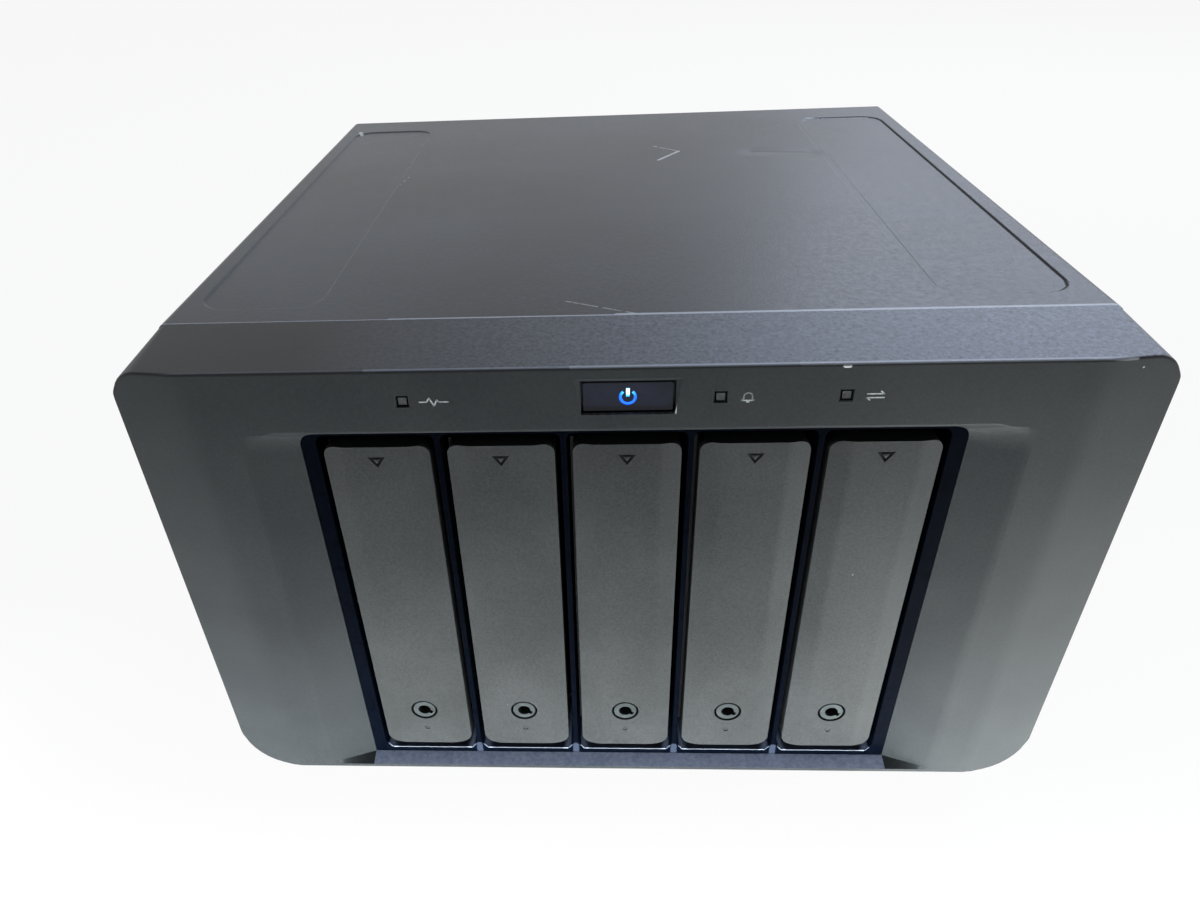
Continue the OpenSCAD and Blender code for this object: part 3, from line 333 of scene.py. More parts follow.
def glowMaterial():
    # blue light-emitting diode behind a clear symbol: near white at the core, saturated at the rim
    material, tree, shader, spot = newMaterial("litSymbolBlue", Roughness=0.3, IOR=1.49, Emission_Strength=1.7)
    centre = Vector((0, symbol["y"], symbol["z"] + 1.5)) * mm
    away = addNode(tree, "ShaderNodeVectorMath", {0: spot, 1: centre}, operation="DISTANCE")
    core = addNode(tree, "ShaderNodeMapRange", {"Value": away.outputs["Value"], "From Min": 0.4 * mm,
                                                "From Max": 2.1 * mm})
    coat(tree, shader, core.outputs["Result"], ((0.0, "#d8fbff"), (0.45, "#2aa8ff"), (1.0, "#0a5cff")))
    tree.links.new(shader.inputs["Base Color"].links[0].from_socket, shader.inputs["Emission Color"])
    return material


def inkMaterial():
    # pale grey pad-printing ink: thin, dull, a little uneven
    material, tree, shader, spot = newMaterial("printedInkGrey", IOR=1.5, Roughness=0.6)
    wear = addNode(tree, "ShaderNodeTexNoise", {"Vector": spot, "Scale": 1 / (0.6 * mm), "Detail": 3.0})
    coat(tree, shader, wear.outputs["Fac"], ((0.35, "#9b9fa2"), (0.6, "#c4c8cb")))
    return material


def objectMode():
    # back to object mode with nothing selected
    if bpy.context.mode != "OBJECT":
        bpy.ops.object.mode_set(mode="OBJECT")
    bpy.ops.object.select_all(action="DESELECT")


def only(*things):
    # selects these and makes the first one active
    objectMode()
    for thing in things:
        thing.select_set(True)
    bpy.context.view_layer.objects.active = things[0]
    return things[0]


def edit(thing):
    only(thing)
    bpy.ops.object.mode_set(mode="EDIT")


def select(kind, test):
    # in edit mode, selects what passes: vertices by place, edges by both ends, faces by middle and normal
    bpy.ops.mesh.select_mode(type=kind)
    bpy.ops.mesh.select_all(action="DESELECT")
    mesh = bmesh.from_edit_mesh(bpy.context.edit_object.data)
    if kind == "VERT":
        for vert in mesh.verts:
            vert.select = test(vert.co / mm)
    elif kind == "EDGE":
        for edge in mesh.edges:
            edge.select = test(*[v.co / mm for v in edge.verts])
    else:
        for face in mesh.faces:
            face.select = test(face.calc_center_median() / mm, face.normal)
    mesh.select_flush_mode()
    bmesh.update_edit_mesh(bpy.context.edit_object.data)


def reshape(move, test=None):
    # in edit mode, moves each selected vertex, or each that passes the test, to move(where it is)
    mesh = bmesh.from_edit_mesh(bpy.context.edit_object.data)
    for vert in mesh.verts:
        if vert.select if test is None else test(vert.co / mm):
            vert.co = Vector(move(vert.co / mm)) * mm
    bmesh.update_edit_mesh(bpy.context.edit_object.data)


def everywhere(co):
    return True


def reshaped(thing, move, test=everywhere):
    edit(thing)
    reshape(move, test)
    objectMode()
    return thing


def rounded(test, width, steps):
    # in edit mode, rounds the edges that pass the test
    select("EDGE", test)
    bpy.ops.mesh.bevel(offset=width * mm, segments=steps, affect="EDGES")


def pulled(x, y, z):
    # in edit mode, draws the selected faces out, in millimetres
    bpy.ops.mesh.extrude_region_move(TRANSFORM_OT_translate={"value": (x * mm, y * mm, z * mm)})


def creaseAt(x):
    # in edit mode, a new row of edges across the piece
    bpy.ops.mesh.select_all(action="SELECT")
    bpy.ops.mesh.bisect(plane_co=(x * mm, 0, 0), plane_no=(1, 0, 0))


def inlay(thing, finish, test):
    # gives the faces that pass the test a finish of their own, after the piece's first one
    thing.data.materials.append(finishes[finish])
    edit(thing)
    select("FACE", test)
    thing.active_material_index = 1
    bpy.ops.object.material_slot_assign()
    objectMode()


def turned(co, x, z, angle):
    # a place turned about an axis that runs from front to back
    return (x + (co.x - x) * math.cos(angle) - (co.z - z) * math.sin(angle), co.y,
            z + (co.x - x) * math.sin(angle) + (co.z - z) * math.cos(angle))


def newPiece(name):
    # names the primitive just added and puts its place into its mesh
    thing = bpy.context.object
    thing.name = thing.data.name = name
    bpy.ops.object.transform_apply(location=True, rotation=True, scale=True)
    return thing


def block(name, low, high):
    # a box between two corners, in millimetres
    objectMode()
    size = Vector(high) - Vector(low)
    bpy.ops.mesh.primitive_cube_add(size=1, location=(Vector(low) + size / 2) * mm, scale=size * mm)
    return newPiece(name)


def rod(name, radius, start, end, sides=48):
    # a round bar between two places, in millimetres
    objectMode()
    start, end = Vector(start) * mm, Vector(end) * mm
    turn = (end - start).to_track_quat("Z", "Y").to_euler()
    bpy.ops.mesh.primitive_cylinder_add(vertices=sides, radius=radius * mm, depth=(end - start).length,
                                        location=(start + end) / 2, rotation=turn)
    return newPiece(name)


def taper(name, low, high, grow):
    # a cutter for a recess with slanted walls: its front face grows by (left, right, down, up)
    middle = (Vector(low) + Vector(high)) / 2
    left, right, down, up = grow
    return reshaped(block(name, low, high),
                    lambda co: (co.x + (right if co.x > middle.x else -left), co.y,
                                co.z + (up if co.z > middle.z else -down)), lambda co: co.y < middle.y)


def modify(thing, kind, **settings):
    # adds a modifier and applies it
    only(thing)
    added = thing.modifiers.new(kind, kind)
    for name, value in settings.items():
        setattr(added, name, value)
    bpy.ops.object.modifier_apply(modifier=added.name)
    return thing


def cut(thing, *cutters, operation="DIFFERENCE", walls=None):
    # the walls of the cut keep the piece's finish, or get one of their own
    for cutter in cutters:
        if walls:
            cutter.data.materials.append(finishes[walls])
        modify(thing, "BOOLEAN", operation=operation, object=cutter, solver="EXACT",
               material_mode="TRANSFER" if walls else "INDEX")
        bpy.data.objects.remove(cutter)
    return thing


def join(first, *others):
    # one mesh that keeps the first one's name
    only(first, *others)
    bpy.ops.object.join()
    return first


def soften(thing, width, angle=30, steps=2):
    # eases the edges that are sharper than the angle, then shades the piece smoothly
    if width:
        modify(thing, "BEVEL", width=width * mm, segments=steps, limit_method="ANGLE",
               angle_limit=math.radians(angle), use_clamp_overlap=True, harden_normals=False)
    only(thing)
    bpy.ops.object.shade_smooth_by_angle(angle=math.radians(38))
    modify(thing, "WEIGHTED_NORMAL", keep_sharp=True, weight=50)
    return thing


def copyOf(nodeName, name):
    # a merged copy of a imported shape, for easing its edges
    thing = bpy.data.objects.new(name, nodes[nodeName].data.copy())
    bpy.context.scene.collection.objects.link(thing)
    thing.data.materials.clear()
    edit(thing)
    bpy.ops.mesh.select_all(action="SELECT")
    bpy.ops.mesh.remove_doubles(threshold=0.03 * mm)
    bpy.ops.mesh.dissolve_limited(angle_limit=math.radians(1))
    objectMode()
    return thing


def copyTo(thing, name, move):
    # a copy with its own mesh, moved inside the mesh
    twin = bpy.data.objects.new(name, thing.data.copy())
    bpy.context.scene.collection.objects.link(twin)
    return reshaped(twin, move)


def dress(thing, slotName, body, *replaced):
    # the piece's finish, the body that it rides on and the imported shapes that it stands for
    if not thing.data.materials:
        thing.data.materials.append(finishes[slotName])
    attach(thing, body)
    if replaced:
        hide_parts(*replaced)
    return thing


def nodeBox(name):
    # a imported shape's lowest and highest corners, in millimetres
    low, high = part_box(name)
    return low / mm, high / mm


def middleOf(name):
    low, high = nodeBox(name)
    return (low + high) / 2


symbol = {"z": middleOf("power_icon").z, "y": nodeBox("power_icon")[0].y, "ring": 1.75, "line": 0.62, "gap": 38,
          "bar": (0.42, 0.1, 2.35), "sunk": 0.02, "deep": 0.6, "soft": 0.06}
finishes = {
    "bezel_plastic": bezelMaterial(),
    "frame_plastic": frameMaterial(),
    # black from a polished tool, painted pale bluish for the reflection and light it shows, with specks of dust:
    # glossy, finely mottled
    "shelf": mouldedPlastic("polishedAbsDusty", "#7c86a4", "#9ba4bf", 0.34, grain=1.2, depth=0.01, cloud=5,
                            dust=(0.22, 6, 0.2, "#8f96a6"))[0],
    # a touch warmer than the bezel, with the same eroded grain
    "handle_plastic": mouldedPlastic("mouldedAbsWarmGrey", "#262829", "#36383a", 0.44, grain=0.6, depth=0.03,
                                     cloud=30, dust=(0.16, 9, 0.25, "#8b8f90"), Specular_IOR_Level=0.22)[0],
    "cover_paint": coverMaterial(),
    "carrier_plastic": mouldedPlastic("glassFilledNylonBlack", "#1b1d1f", "#24272a", 0.5)[0],  # dull, streaky
    "guide_plastic": mouldedPlastic("acetalBlack", "#121416", "#1a1c1e", 0.36)[0],  # waxy black
    "connector_plastic": mouldedPlastic("nylonNatural", "#ddd8c9", "#e8e4d8", 0.38)[0],  # milky
    "black_connector": mouldedPlastic("nylonBlack", "#0f1012", "#191a1d", 0.4)[0],
    # the key's dark blue tone is painted light from its lit symbol
    "button_plastic": mouldedPlastic("polishedAbsKey", "#161a29", "#1e2333", 0.12, grain=4, depth=0.002,
                                     Specular_IOR_Level=0.2)[0],  # piano black: mirror-like
    "lens_plastic": lensMaterial(),
    "pipe_plastic": mouldedPlastic("frostedAcrylic", "#1b201e", "#2c3330", 0.4, grain=0.3)[0],  # milky, unlit
    "fan_plastic": mouldedPlastic("fanPbtBlack", "#141517", "#1d1f21", 0.42)[0],  # soft sheen
    "foot_rubber": mouldedPlastic("rubberBlack", "#17181a", "#222426", 0.82, grain=0.35, depth=0.03)[0],  # dull
    "lead": mouldedPlastic("pvcBlack", "#111214", "#1c1d20", 0.45, grain=0.4)[0],
    "panel_paint": sheetMetal("paintedPanelSteel", "#3d4246", "#494e52", 0.5, 2, metallic=0.0, bumpDepth=0.02),
    "zinc_steel": sheetMetal("galvanisedSheet", "#8c9194", "#b2b6b8", 0.42, 9),  # pale, with faint spangle
    "supply_case": sheetMetal("galvanisedCase", "#979c9f", "#b9bdbf", 0.38, 7),
    "screw_steel": sheetMetal("blackZincScrews", "#1d1f22", "#33363a", 0.36, 1.5, metallic=0.8),
    "pin_steel": sheetMetal("brightSteel", "#b4b7b9", "#cfd1d2", 0.25, 3),
    "lock_metal": sheetMetal("satinLockAlloy", "#25292b", "#343a3c", 0.5, 2, metallic=0.0),
    "board": boardMaterial(),
    "supply_board": sheetMetal("paperBoardBrown", "#5b3d1e", "#71502a", 0.6, 5, metallic=0.0),
    "icon_blue": glowMaterial(),
    "ink": inkMaterial(),
    # near black, painted shade for the walls of grooves, bores and keyholes
    "grime": mouldedPlastic("greasyGrime", "#0b0c0e", "#17191b", 0.7, Specular_IOR_Level=0.2)[0],
}
for node in nodes.values():
    for slot in node.material_slots:
        slot.material = finishes.get(slot.material.name, slot.material)
print("finishes made", len(finishes))


frameLow, frameHigh = nodeBox("bay_frame")
bezelLow, bezelHigh = nodeBox("front_bezel")
lamps = {"status_lens": "lampStatus", "alert_lens": "lampAlert", "link_lens": "lampLink"}
bezel = {
    "face": 106.2, "wing": 124, "joint": 121.2, "wingFall": 2.4, "crown": 1.2, "chin": 9.3, "wall": 0.9,
    "topCorner": 7.5, "lowCorner": 14, "jointCorner": 3, "cornerSteps": 8, "inFront": 0.03,
    "scoop": 95, "dish": 82, "sideCuts": (82, 86, 89, 91.5, 93.5), "coveHeight": 8, "coveCorner": 8, "lip": 1.4,
    "openingCorner": 5, "shelfFall": 0.8, "rimFrom": 115, "rimSoft": 0.7, "chinSoft": 0.2, "creaseSoft": 2.2,
    "scoopSoft": 1.8, "lipSoft": 0.9, "through": 6, "key": (21.9, 8.4), "keyRecess": (1.7, 1.7, 0.1, 1.3),
    "window": 1.3, "windowDeep": 0.55, "windowRecess": (0.5, 0.35, 0.3, 0.5),
}


def roundedLoop(half, low, high, y, lowRadius, topRadius, steps):
    # a closed outline across the front, with its own lower and upper corner radii
    objectMode()
    bpy.ops.mesh.primitive_plane_add(size=1, location=Vector((0, y, (low + high) / 2)) * mm,
                                     rotation=(math.pi / 2, 0, 0))
    loop = newPiece("loop")
    reshaped(loop, lambda co: (math.copysign(half, co.x), y, high if co.z > (low + high) / 2 else low))
    edit(loop)
    for radius, level in ((lowRadius, low), (topRadius, high)):
        select("VERT", lambda co: abs(co.z - level) < 0.001)
        bpy.ops.mesh.bevel(offset_type="OFFSET", offset=radius * mm, segments=steps, affect="VERTICES")
    objectMode()
    return loop


def bridge(firstY, secondY):
    # in edit mode, joins two outlines with a skin
    select("VERT", lambda co: min(abs(co.y - firstY), abs(co.y - secondY)) < 0.01)
    bpy.ops.mesh.select_mode(type="EDGE")
    bpy.ops.mesh.bridge_edge_loops()


def makeBezel():
    b = bezel
    front = bezelLow.y + b["inFront"]
    wingY, jointY, dishY = bezelLow.y + b["wingFall"], frameHigh.y, frameLow.y
    depth = jointY - bezelLow.y
    shelf, dishTop = frameLow.z - 0.1, frameHigh.z + 0.1
    coveTop = dishTop + b["lip"]
    panZ, topZ = bezelLow.z, bezelHigh.z

    def under(y):
        return panZ + b["chin"] * (jointY - y) / depth

    def crown(y):
        return topZ - b["crown"] * (jointY - y) / depth

    steps = b["cornerSteps"]
    rear = roundedLoop(b["joint"], panZ, topZ, jointY, b["jointCorner"], b["jointCorner"], steps)
    edit(rear)
    bpy.ops.mesh.select_all(action="SELECT")
    bpy.ops.mesh.delete(type="ONLY_FACE")
    skin = roundedLoop(b["wing"], under(front), crown(front), front, b["lowCorner"], b["topCorner"], steps)
    join(skin, rear)
    skin.name = skin.data.name = "bezelShell"
    edit(skin)
    bridge(front, jointY)

    # the wings fall back from the face; cuts beside the creases keep their smooth shading narrow
    side, dish = b["scoop"], b["dish"]
    for x in (side, side + b["scoopSoft"], b["face"] - b["creaseSoft"], b["face"], b["face"] + b["creaseSoft"]):
        creaseAt(-x)
        creaseAt(x)
    reshape(lambda co: (co.x, front + b["wingFall"] * (abs(co.x) - b["face"]) / (b["wing"] - b["face"]), co.z),
            lambda co: co.y < front + 0.01 and abs(co.x) > b["face"])

    # the scoop: cuts across the face, first at its sides and ends, then steps for its cove
    def onFace(middle):
        return abs(middle.y - front) < 0.01

    def cutFace(point, normal, limit=1e3, low=-1e3, high=1e3):
        select("FACE", lambda m, n: onFace(m) and abs(m.x) < limit and low < m.z < high)
        bpy.ops.mesh.bisect(plane_co=Vector(point) * mm, plane_no=normal)

    for z in (shelf, coveTop):
        cutFace((0, front, z), (0, 0, 1), limit=side)
    for angle in (15, 30, 45, 60, 75, 90):
        cutFace((0, front, coveTop - b["coveHeight"] * (1 - math.cos(math.radians(angle)))), (0, 0, 1),
                side, shelf, coveTop)
    for x in b["sideCuts"]:
        for sign in (-1, 1):
            cutFace((sign * x, front, 0), (1, 0, 0), side, shelf, coveTop)
    select("FACE", lambda m, n: onFace(m) and abs(m.x) < side and shelf < m.z < coveTop)
    pulled(0, 0, 0)

    def scooped(co):
        slope = min(max((side - abs(co.x)) / (side - dish), 0), 1)
        past = max(abs(co.x) - (side - b["coveCorner"]), 0) / b["coveCorner"]
        corner = b["coveHeight"] * (1 - math.sqrt(max(1 - past ** 2, 0)))
        rise = min(max((coveTop - corner - co.z) / b["coveHeight"], 0), 1)
        cove = math.sqrt(1 - (1 - rise) ** 2)
        return co.x, front + (dishY - front) * slope * cove, co.z

    reshape(scooped)
    bpy.ops.mesh.select_all(action="SELECT")
    bpy.ops.mesh.remove_doubles(threshold=0.01 * mm)
    bpy.ops.mesh.normals_make_consistent(inside=False)

    # the shelf below the trays falls a little towards its front edge
    reshape(lambda co: (co.x, co.y, co.z - b["shelfFall"]),
            lambda co: abs(co.y - front) < 0.01 and abs(co.z - shelf) < 0.01 and abs(co.x) < side - 1)

    # eased edges: round the front, and along the lip of the scoop
    def onRim(co):
        top = co.z > 100
        corner, centre = (b["topCorner"], crown(front) - b["topCorner"]) if top else (
            b["lowCorner"], under(front) + b["lowCorner"])
        across, up = max(abs(co.x) - b["wing"] + corner, 0), max((co.z - centre) * (1 if top else -1), 0)
        return co.y < wingY + 0.01 and abs(math.hypot(across, up) - corner) < 0.03

    def lowEdge(a, c):
        return max(a.z, c.z) < under(front) + 0.05

    rounded(lambda a, c: onRim(a) and onRim(c) and (abs(a.x) > b["rimFrom"] or abs(a.z - c.z) < 10)
            and not lowEdge(a, c), b["rimSoft"], 3)
    rounded(lambda a, c: lowEdge(a, c) and max(a.y, c.y) < wingY, b["chinSoft"], 2)
    rounded(lambda a, c: max(a.y, c.y) < front + 0.01 and abs(a.z - c.z) < 0.01 and abs(a.z - coveTop) < 0.01
            and max(abs(a.x), abs(c.x)) < side - b["coveCorner"] + 0.5, b["lipSoft"], 3)
    objectMode()
    modify(skin, "SOLIDIFY", thickness=b["wall"] * mm, offset=-1, use_even_offset=False)

    # the opening for the trays, cut through the floor of the scoop
    hole = block("opening", (-dish, front - 5, shelf + 0.02), (dish, jointY + 1, dishTop))
    edit(hole)
    rounded(lambda a, c: abs(a.y - c.y) > 1 and a.z > 100, b["openingCorner"], 8)
    objectMode()
    cut(skin, hole)

    # the recess of the key, and the windows of the three lamps
    z, keyY = symbol["z"], nodeBox("power_button")[0].y
    wide, tall = b["key"][0] / 2, b["key"][1] / 2
    recess = taper("keyRecess", (-wide, front - 0.1, z - tall), (wide, keyY + 0.1, z + tall), b["keyRecess"])
    reshaped(recess, lambda co: (math.copysign(wide + 0.1, co.x), co.y, co.z),
             lambda co: co.y < front and co.z < z)
    cut(skin, recess, block("keyHole", (-wide, front - 1, z - tall), (wide, front + b["through"], z + tall)))
    for lens in lamps:
        x, w = middleOf(lens).x, b["window"]
        cut(skin, taper("windowRecess", (x - w, front - 0.1, z - w), (x + w, front + b["windowDeep"], z + w),
                        b["windowRecess"]),
            block("windowHole", (x - w, front - 1, z - w), (x + w, front + b["through"], z + w)))

    # the shelf is polished like the frame: its faces get their own finish, painted pale bluish as reflection
    skin.data.materials.append(finishes["bezel_plastic"])
    inlay(skin, "shelf", lambda m, n: n.z > 0.6 and shelf - b["shelfFall"] - 0.1 < m.z < shelf + 0.1
          and abs(m.x) < dish)
    return soften(skin, 0)


dress(makeBezel(), "bezel_plastic", "chassis", "front_bezel")
print("bezel shell")


# the black grid between the trays
grid = {"soft": 0.45}
dress(soften(copyOf("bay_frame", "trayGrid"), grid["soft"], steps=3), "frame_plastic", "chassis", "bay_frame")
print("tray grid")


# the steel cover: a bent sheet with pressed panels, side vents and a rear lip
cover = {"bend": 2.5, "sheet": 1.0, "lip": 8, "vents": 13, "pitch": 8, "vent": (3, 67, 101), "ventCorner": 0.8,
         "inletGap": 0.5, "soft": 0.25, "panel": (97.5, 17, -87.5, 102), "panelCorner": 8, "panelDepth": 0.4,
         "panelSlope": 0.5}


def panelCutter(side):
    # the pressed panel's shape, a little smaller at its floor
    c = cover
    x, half, front, back = c["panel"]
    top = cadHigh.z / mm
    cutter = block("panelPress", (side * x - half, front, top - c["panelDepth"]), (side * x + half, back, top))
    edit(cutter)
    rounded(lambda a, b: abs(a.z - b.z) > 0.1, c["panelCorner"], 8)
    middle, length = (front + back) / 2, (back - front) / 2
    shrink = c["panelSlope"]
    reshape(lambda co: (side * x + (co.x - side * x) * (1 - shrink / half),
                        middle + (co.y - middle) * (1 - shrink / length), co.z),
            lambda co: co.z < top - c["panelDepth"] / 2)
    select("FACE", lambda m, n: n.z > 0.9)
    pulled(0, 0, 2)
    objectMode()
    return cutter


def makeCover():
    c = cover
    low, high = nodeBox("top_cover")
    shell = block("coverShell", low, high)
    edit(shell)
    rounded(lambda a, b: abs(a.y - b.y) > 100 and a.z > 100, c["bend"], 10)
    select("FACE", lambda m, n: n.z < -0.9 or n.y < -0.9)
    bpy.ops.mesh.delete(type="FACE")
    objectMode()
    modify(shell, "SOLIDIFY", thickness=c["sheet"] * mm, offset=-1, use_even_offset=True)
    border, past = c["sheet"] + c["lip"], high.y + 1
    rearOpening = block("rearOpening", (border - high.x, high.y - 3, low.z - 5),
                        (high.x - border, past, high.z - border))
    width, ventLow, ventHigh = c["vent"]
    vents = []
    for k in range(c["vents"]):
        y = (k - (c["vents"] - 1) / 2) * c["pitch"]
        vents.append(block("vent", (low.x - 2, y - width / 2, ventLow), (high.x + 2, y + width / 2, ventHigh)))
        edit(vents[-1])
        rounded(lambda a, b: abs(a.x - b.x) > 100, c["ventCorner"], 3)
        objectMode()
    gap = Vector((c["inletGap"], 0, c["inletGap"]))
    inletLow, inletHigh = nodeBox("mains_inlet")
    inletLow.y, inletHigh.y = high.y - 3, past
    cut(shell, rearOpening, join(*vents), panelCutter(-1), panelCutter(1),
        block("inletOpening", inletLow - gap, inletHigh + gap))
    return soften(shell, c["soft"])


dress(makeCover(), "cover_paint", "chassis", "top_cover")
print("cover")


# the tray handles: faceted face, pressed touch mark, hollow back, a boss round the lock
handle = {"flat": 8.25, "fall": 1.0, "corner": 3, "wall": 2, "crease": 0.8, "soft": 0.4, "lockUp": 15.9,
          "lockBore": 4.15, "boss": 5.6, "bossDeep": 2.6, "pipeDown": 8.5, "pipe": 0.72, "mark": (2.1, 0.85),
          "markWide": 1.25, "markDown": 4.1, "markDepth": 0.5, "hinge": (5, 5.1), "knuckle": 2.9, "pin": 1.06}


def makeHandle():
    h = handle
    low, high = nodeBox("tray_handle_3")
    body = block("trayHandle_3", low, high)
    edit(body)
    creaseAt(-h["flat"])
    creaseAt(h["flat"])
    reshape(lambda co: (co.x, co.y + h["fall"], co.z),
            lambda co: abs(co.x) > high.x - 0.1 and co.y < low.y + 0.1)
    rounded(lambda a, c: abs(a.y - c.y) > 3 and abs(a.x) > high.x - 0.1, h["corner"], 6)
    rounded(lambda a, c: abs(abs(a.x) - h["flat"]) < 0.1 and abs(a.z - c.z) > 9 and a.y < low.y + 0.1,
            h["crease"], 3)
    objectMode()
    inner = low.y + h["wall"]
    cut(body, block("hollow", (low.x + h["wall"], inner, low.z + h["wall"]),
                    (high.x - h["wall"], high.y + 1, high.z - h["wall"])))
    hingeY, hingeZ = low.y + h["hinge"][0], low.z + h["hinge"][1]
    heel = block("heel", (low.x - 1, hingeY, low.z - 1), (high.x + 1, high.y + 1, hingeZ))
    cut(heel, rod("knuckle", h["knuckle"], (low.x - 2, hingeY, hingeZ), (high.x + 2, hingeY, hingeZ)))
    cut(body, heel)
    lockZ = low.z + h["lockUp"]
    pipeZ = lockZ - h["pipeDown"]
    cut(body, rod("boss", h["boss"], (0, inner - 0.5, lockZ), (0, inner + h["bossDeep"], lockZ)),
        operation="UNION")
    cut(body, rod("pipeBore", h["pipe"], (0, low.y - 1, pipeZ), (0, high.y, pipeZ), 24),
        rod("pinBore", h["pin"], (low.x + 0.5, hingeY, hingeZ), (high.x - 0.5, hingeY, hingeZ), 24))
    markZ, floor = high.z - h["markDown"], low.y + h["markDepth"]
    mark, island = [rod("mark", size, (0, floor + extra, markZ), (0, low.y - 1 - extra, markZ), 3)
                    for size, extra in zip(h["mark"], (0, 1))]
    for triangle in (mark, island):
        edit(reshaped(triangle, lambda co: (co.x * h["markWide"], co.y, 2 * markZ - co.z)))
        bpy.ops.mesh.select_all(action="SELECT")
        bpy.ops.mesh.normals_make_consistent(inside=False)
    objectMode()
    cut(mark, island)
    soften(body, h["soft"], angle=32)
    body.data.materials.append(finishes["handle_plastic"])
    # the walls of the lock's bore and of the touch mark are painted dark as shade
    cut(body, rod("lockBore", h["lockBore"], (0, low.y - 1, lockZ), (0, high.y + 1, lockZ), 64), mark,
        walls="grime")
    return soften(body, 0)


# the lock: a satin barrel with a keyhole, sunk a little in its bore, and a cam behind
lock = {"radius": 3.45, "sunk": 0.15, "key": 1.95, "slot": (2.8, 0.65), "slotTurn": -28, "cam": (1.8, 7, 0.9),
        "soft": 0.2}


def makeLock():
    k = lock
    low, back = nodeBox("tray_handle_3")[0], nodeBox("tray_lock_3")[1].y
    front, z = low.y + k["sunk"], low.z + handle["lockUp"]
    half, reach, thick = k["cam"]
    barrel = rod("trayLock_3", k["radius"], (0, front, z), (0, back - thick, z), 64)
    cut(barrel, block("cam", (-half, back - thick - 0.1, z), (half, back, z + reach)), operation="UNION")
    slot = block("slot", (0, front - 1, z - k["slot"][1]), (k["slot"][0], front + 3, z + k["slot"][1]))
    reshaped(slot, lambda co: turned(co, 0, z, math.radians(k["slotTurn"])))
    soften(barrel, k["soft"], angle=35)
    barrel.data.materials.append(finishes["lock_metal"])
    # the walls of the keyhole and its slot are painted dark as shade
    cut(barrel, rod("keyhole", k["key"], (0, front - 1, z), (0, front + 3, z), 32), slot, walls="grime")
    return soften(barrel, 0)


# a frosted pin that carries light to the face, and the carrier behind
lampPin = {"radius": 0.68, "sunk": 0.1, "soft": 0.25}
carrier = {"soft": 0.35}


def makeLampPin():
    low, high = nodeBox("light_pipe_3")
    z = middleOf("light_pipe_3").z
    pin = rod("trayLamp_3", lampPin["radius"], (0, low.y + lampPin["sunk"], z), (0, high.y, z), 24)
    return soften(pin, lampPin["soft"], steps=3)


for piece, nodeName, slotName, body in (
        (makeHandle(), "tray_handle", "handle_plastic", "handle"),
        (makeLock(), "tray_lock", "lock_metal", "lock"),
        (makeLampPin(), "light_pipe", "pipe_plastic", "handle"),
        (soften(copyOf("tray_carrier_3", "trayCarrier_3"), carrier["soft"]), "tray_carrier", "carrier_plastic",
         "tray")):
    for n in bays:
        across, name = middleOf(f"tray_handle_{n}").x, piece.name.replace("3", str(n))
        twin = piece if n == 3 else copyTo(piece, name, lambda co: (co.x + across, co.y, co.z))
        dress(twin, slotName, f"{body}_{n}", f"{nodeName}_{n}")
print("five trays")


# the power key with its lit symbol, and the lenses beside it
key = {"size": (21.4, 7.9), "thick": 1.6, "corner": 0.7, "soft": 0.35, "pocket": (0.03, 0.3), "flange": (1.2, 0.7),
       "stem": (7, 1.5)}
lensRim = {"wide": 0.3, "deep": 0.2, "soft": 0.1}


def makeSymbol(name, grow, front, back):
    # the usual standby sign: a ring that is open at the top, and a bar in the opening
    z, line = symbol["z"], symbol["line"] / 2 + grow
    ring = rod(name, symbol["ring"] + line, (0, front, z), (0, back, z), 64)
    cut(ring, rod("inside", symbol["ring"] - line, (0, front - 1, z), (0, back + 1, z), 64))
    spread = 4 * math.tan(math.radians(symbol["gap"]))
    wedge = block("wedge", (-1, front - 1, z), (1, back + 1, z + 4))
    cut(ring, reshaped(wedge, lambda co: (math.copysign(spread if co.z > z + 1 else 0.001, co.x), co.y, co.z)))
    half, low, high = symbol["bar"]
    return join(ring, block("bar", (-half - grow, front, z + low - grow), (half + grow, back, z + high + grow)))


def makeKey():
    low, high = nodeBox("power_button")
    wide, tall = key["size"][0] / 2, key["size"][1] / 2
    z, flangeY = symbol["z"], low.y + key["thick"]
    body = block("powerKey", (-wide, low.y, z - tall), (wide, flangeY + 1, z + tall))
    edit(body)
    rounded(lambda a, c: abs(a.y - c.y) > 1, key["corner"], 4)
    rounded(lambda a, c: max(a.y, c.y) < low.y + 0.01, key["soft"], 3)
    objectMode()
    room, deep = key["pocket"]
    cut(body, makeSymbol("symbolPocket", room, low.y - 1, low.y + deep))
    flange = block("keyFlange", (-wide - key["flange"][0], flangeY, z - tall - key["flange"][1]),
                   (wide + key["flange"][0], flangeY + 1, z + tall + key["flange"][1]))
    x, radius = key["stem"]
    return soften(join(body, flange, rod("keyStem", radius, (x, flangeY + 0.5, z), (x, high.y, z), 24)), 0)


def makeLens(nodeName):
    # a dark frame round a sunken window
    lens, front = copyOf(nodeName, lamps[nodeName]), nodeBox(nodeName)[0].y
    lens.data.materials.append(finishes["frame_plastic"])
    lens.data.materials.append(finishes["lens_plastic"])
    edit(lens)
    select("FACE", lambda m, n: m.y < front + 0.01)
    bpy.ops.mesh.inset(thickness=lensRim["wide"] * mm)
    pulled(0, lensRim["deep"], 0)
    lens.active_material_index = 1
    bpy.ops.object.material_slot_assign()
    return soften(lens, lensRim["soft"])


dress(makeKey(), "button_plastic", "power_button", "power_button")
litSymbol = makeSymbol("litSymbol", 0, symbol["y"] + symbol["sunk"], symbol["y"] + symbol["deep"])
dress(soften(litSymbol, symbol["soft"]), "icon_blue", "power_button", "power_icon")
for nodeName in lamps:
    dress(makeLens(nodeName), "lens_plastic", "chassis", nodeName)
print("power key and lamps")


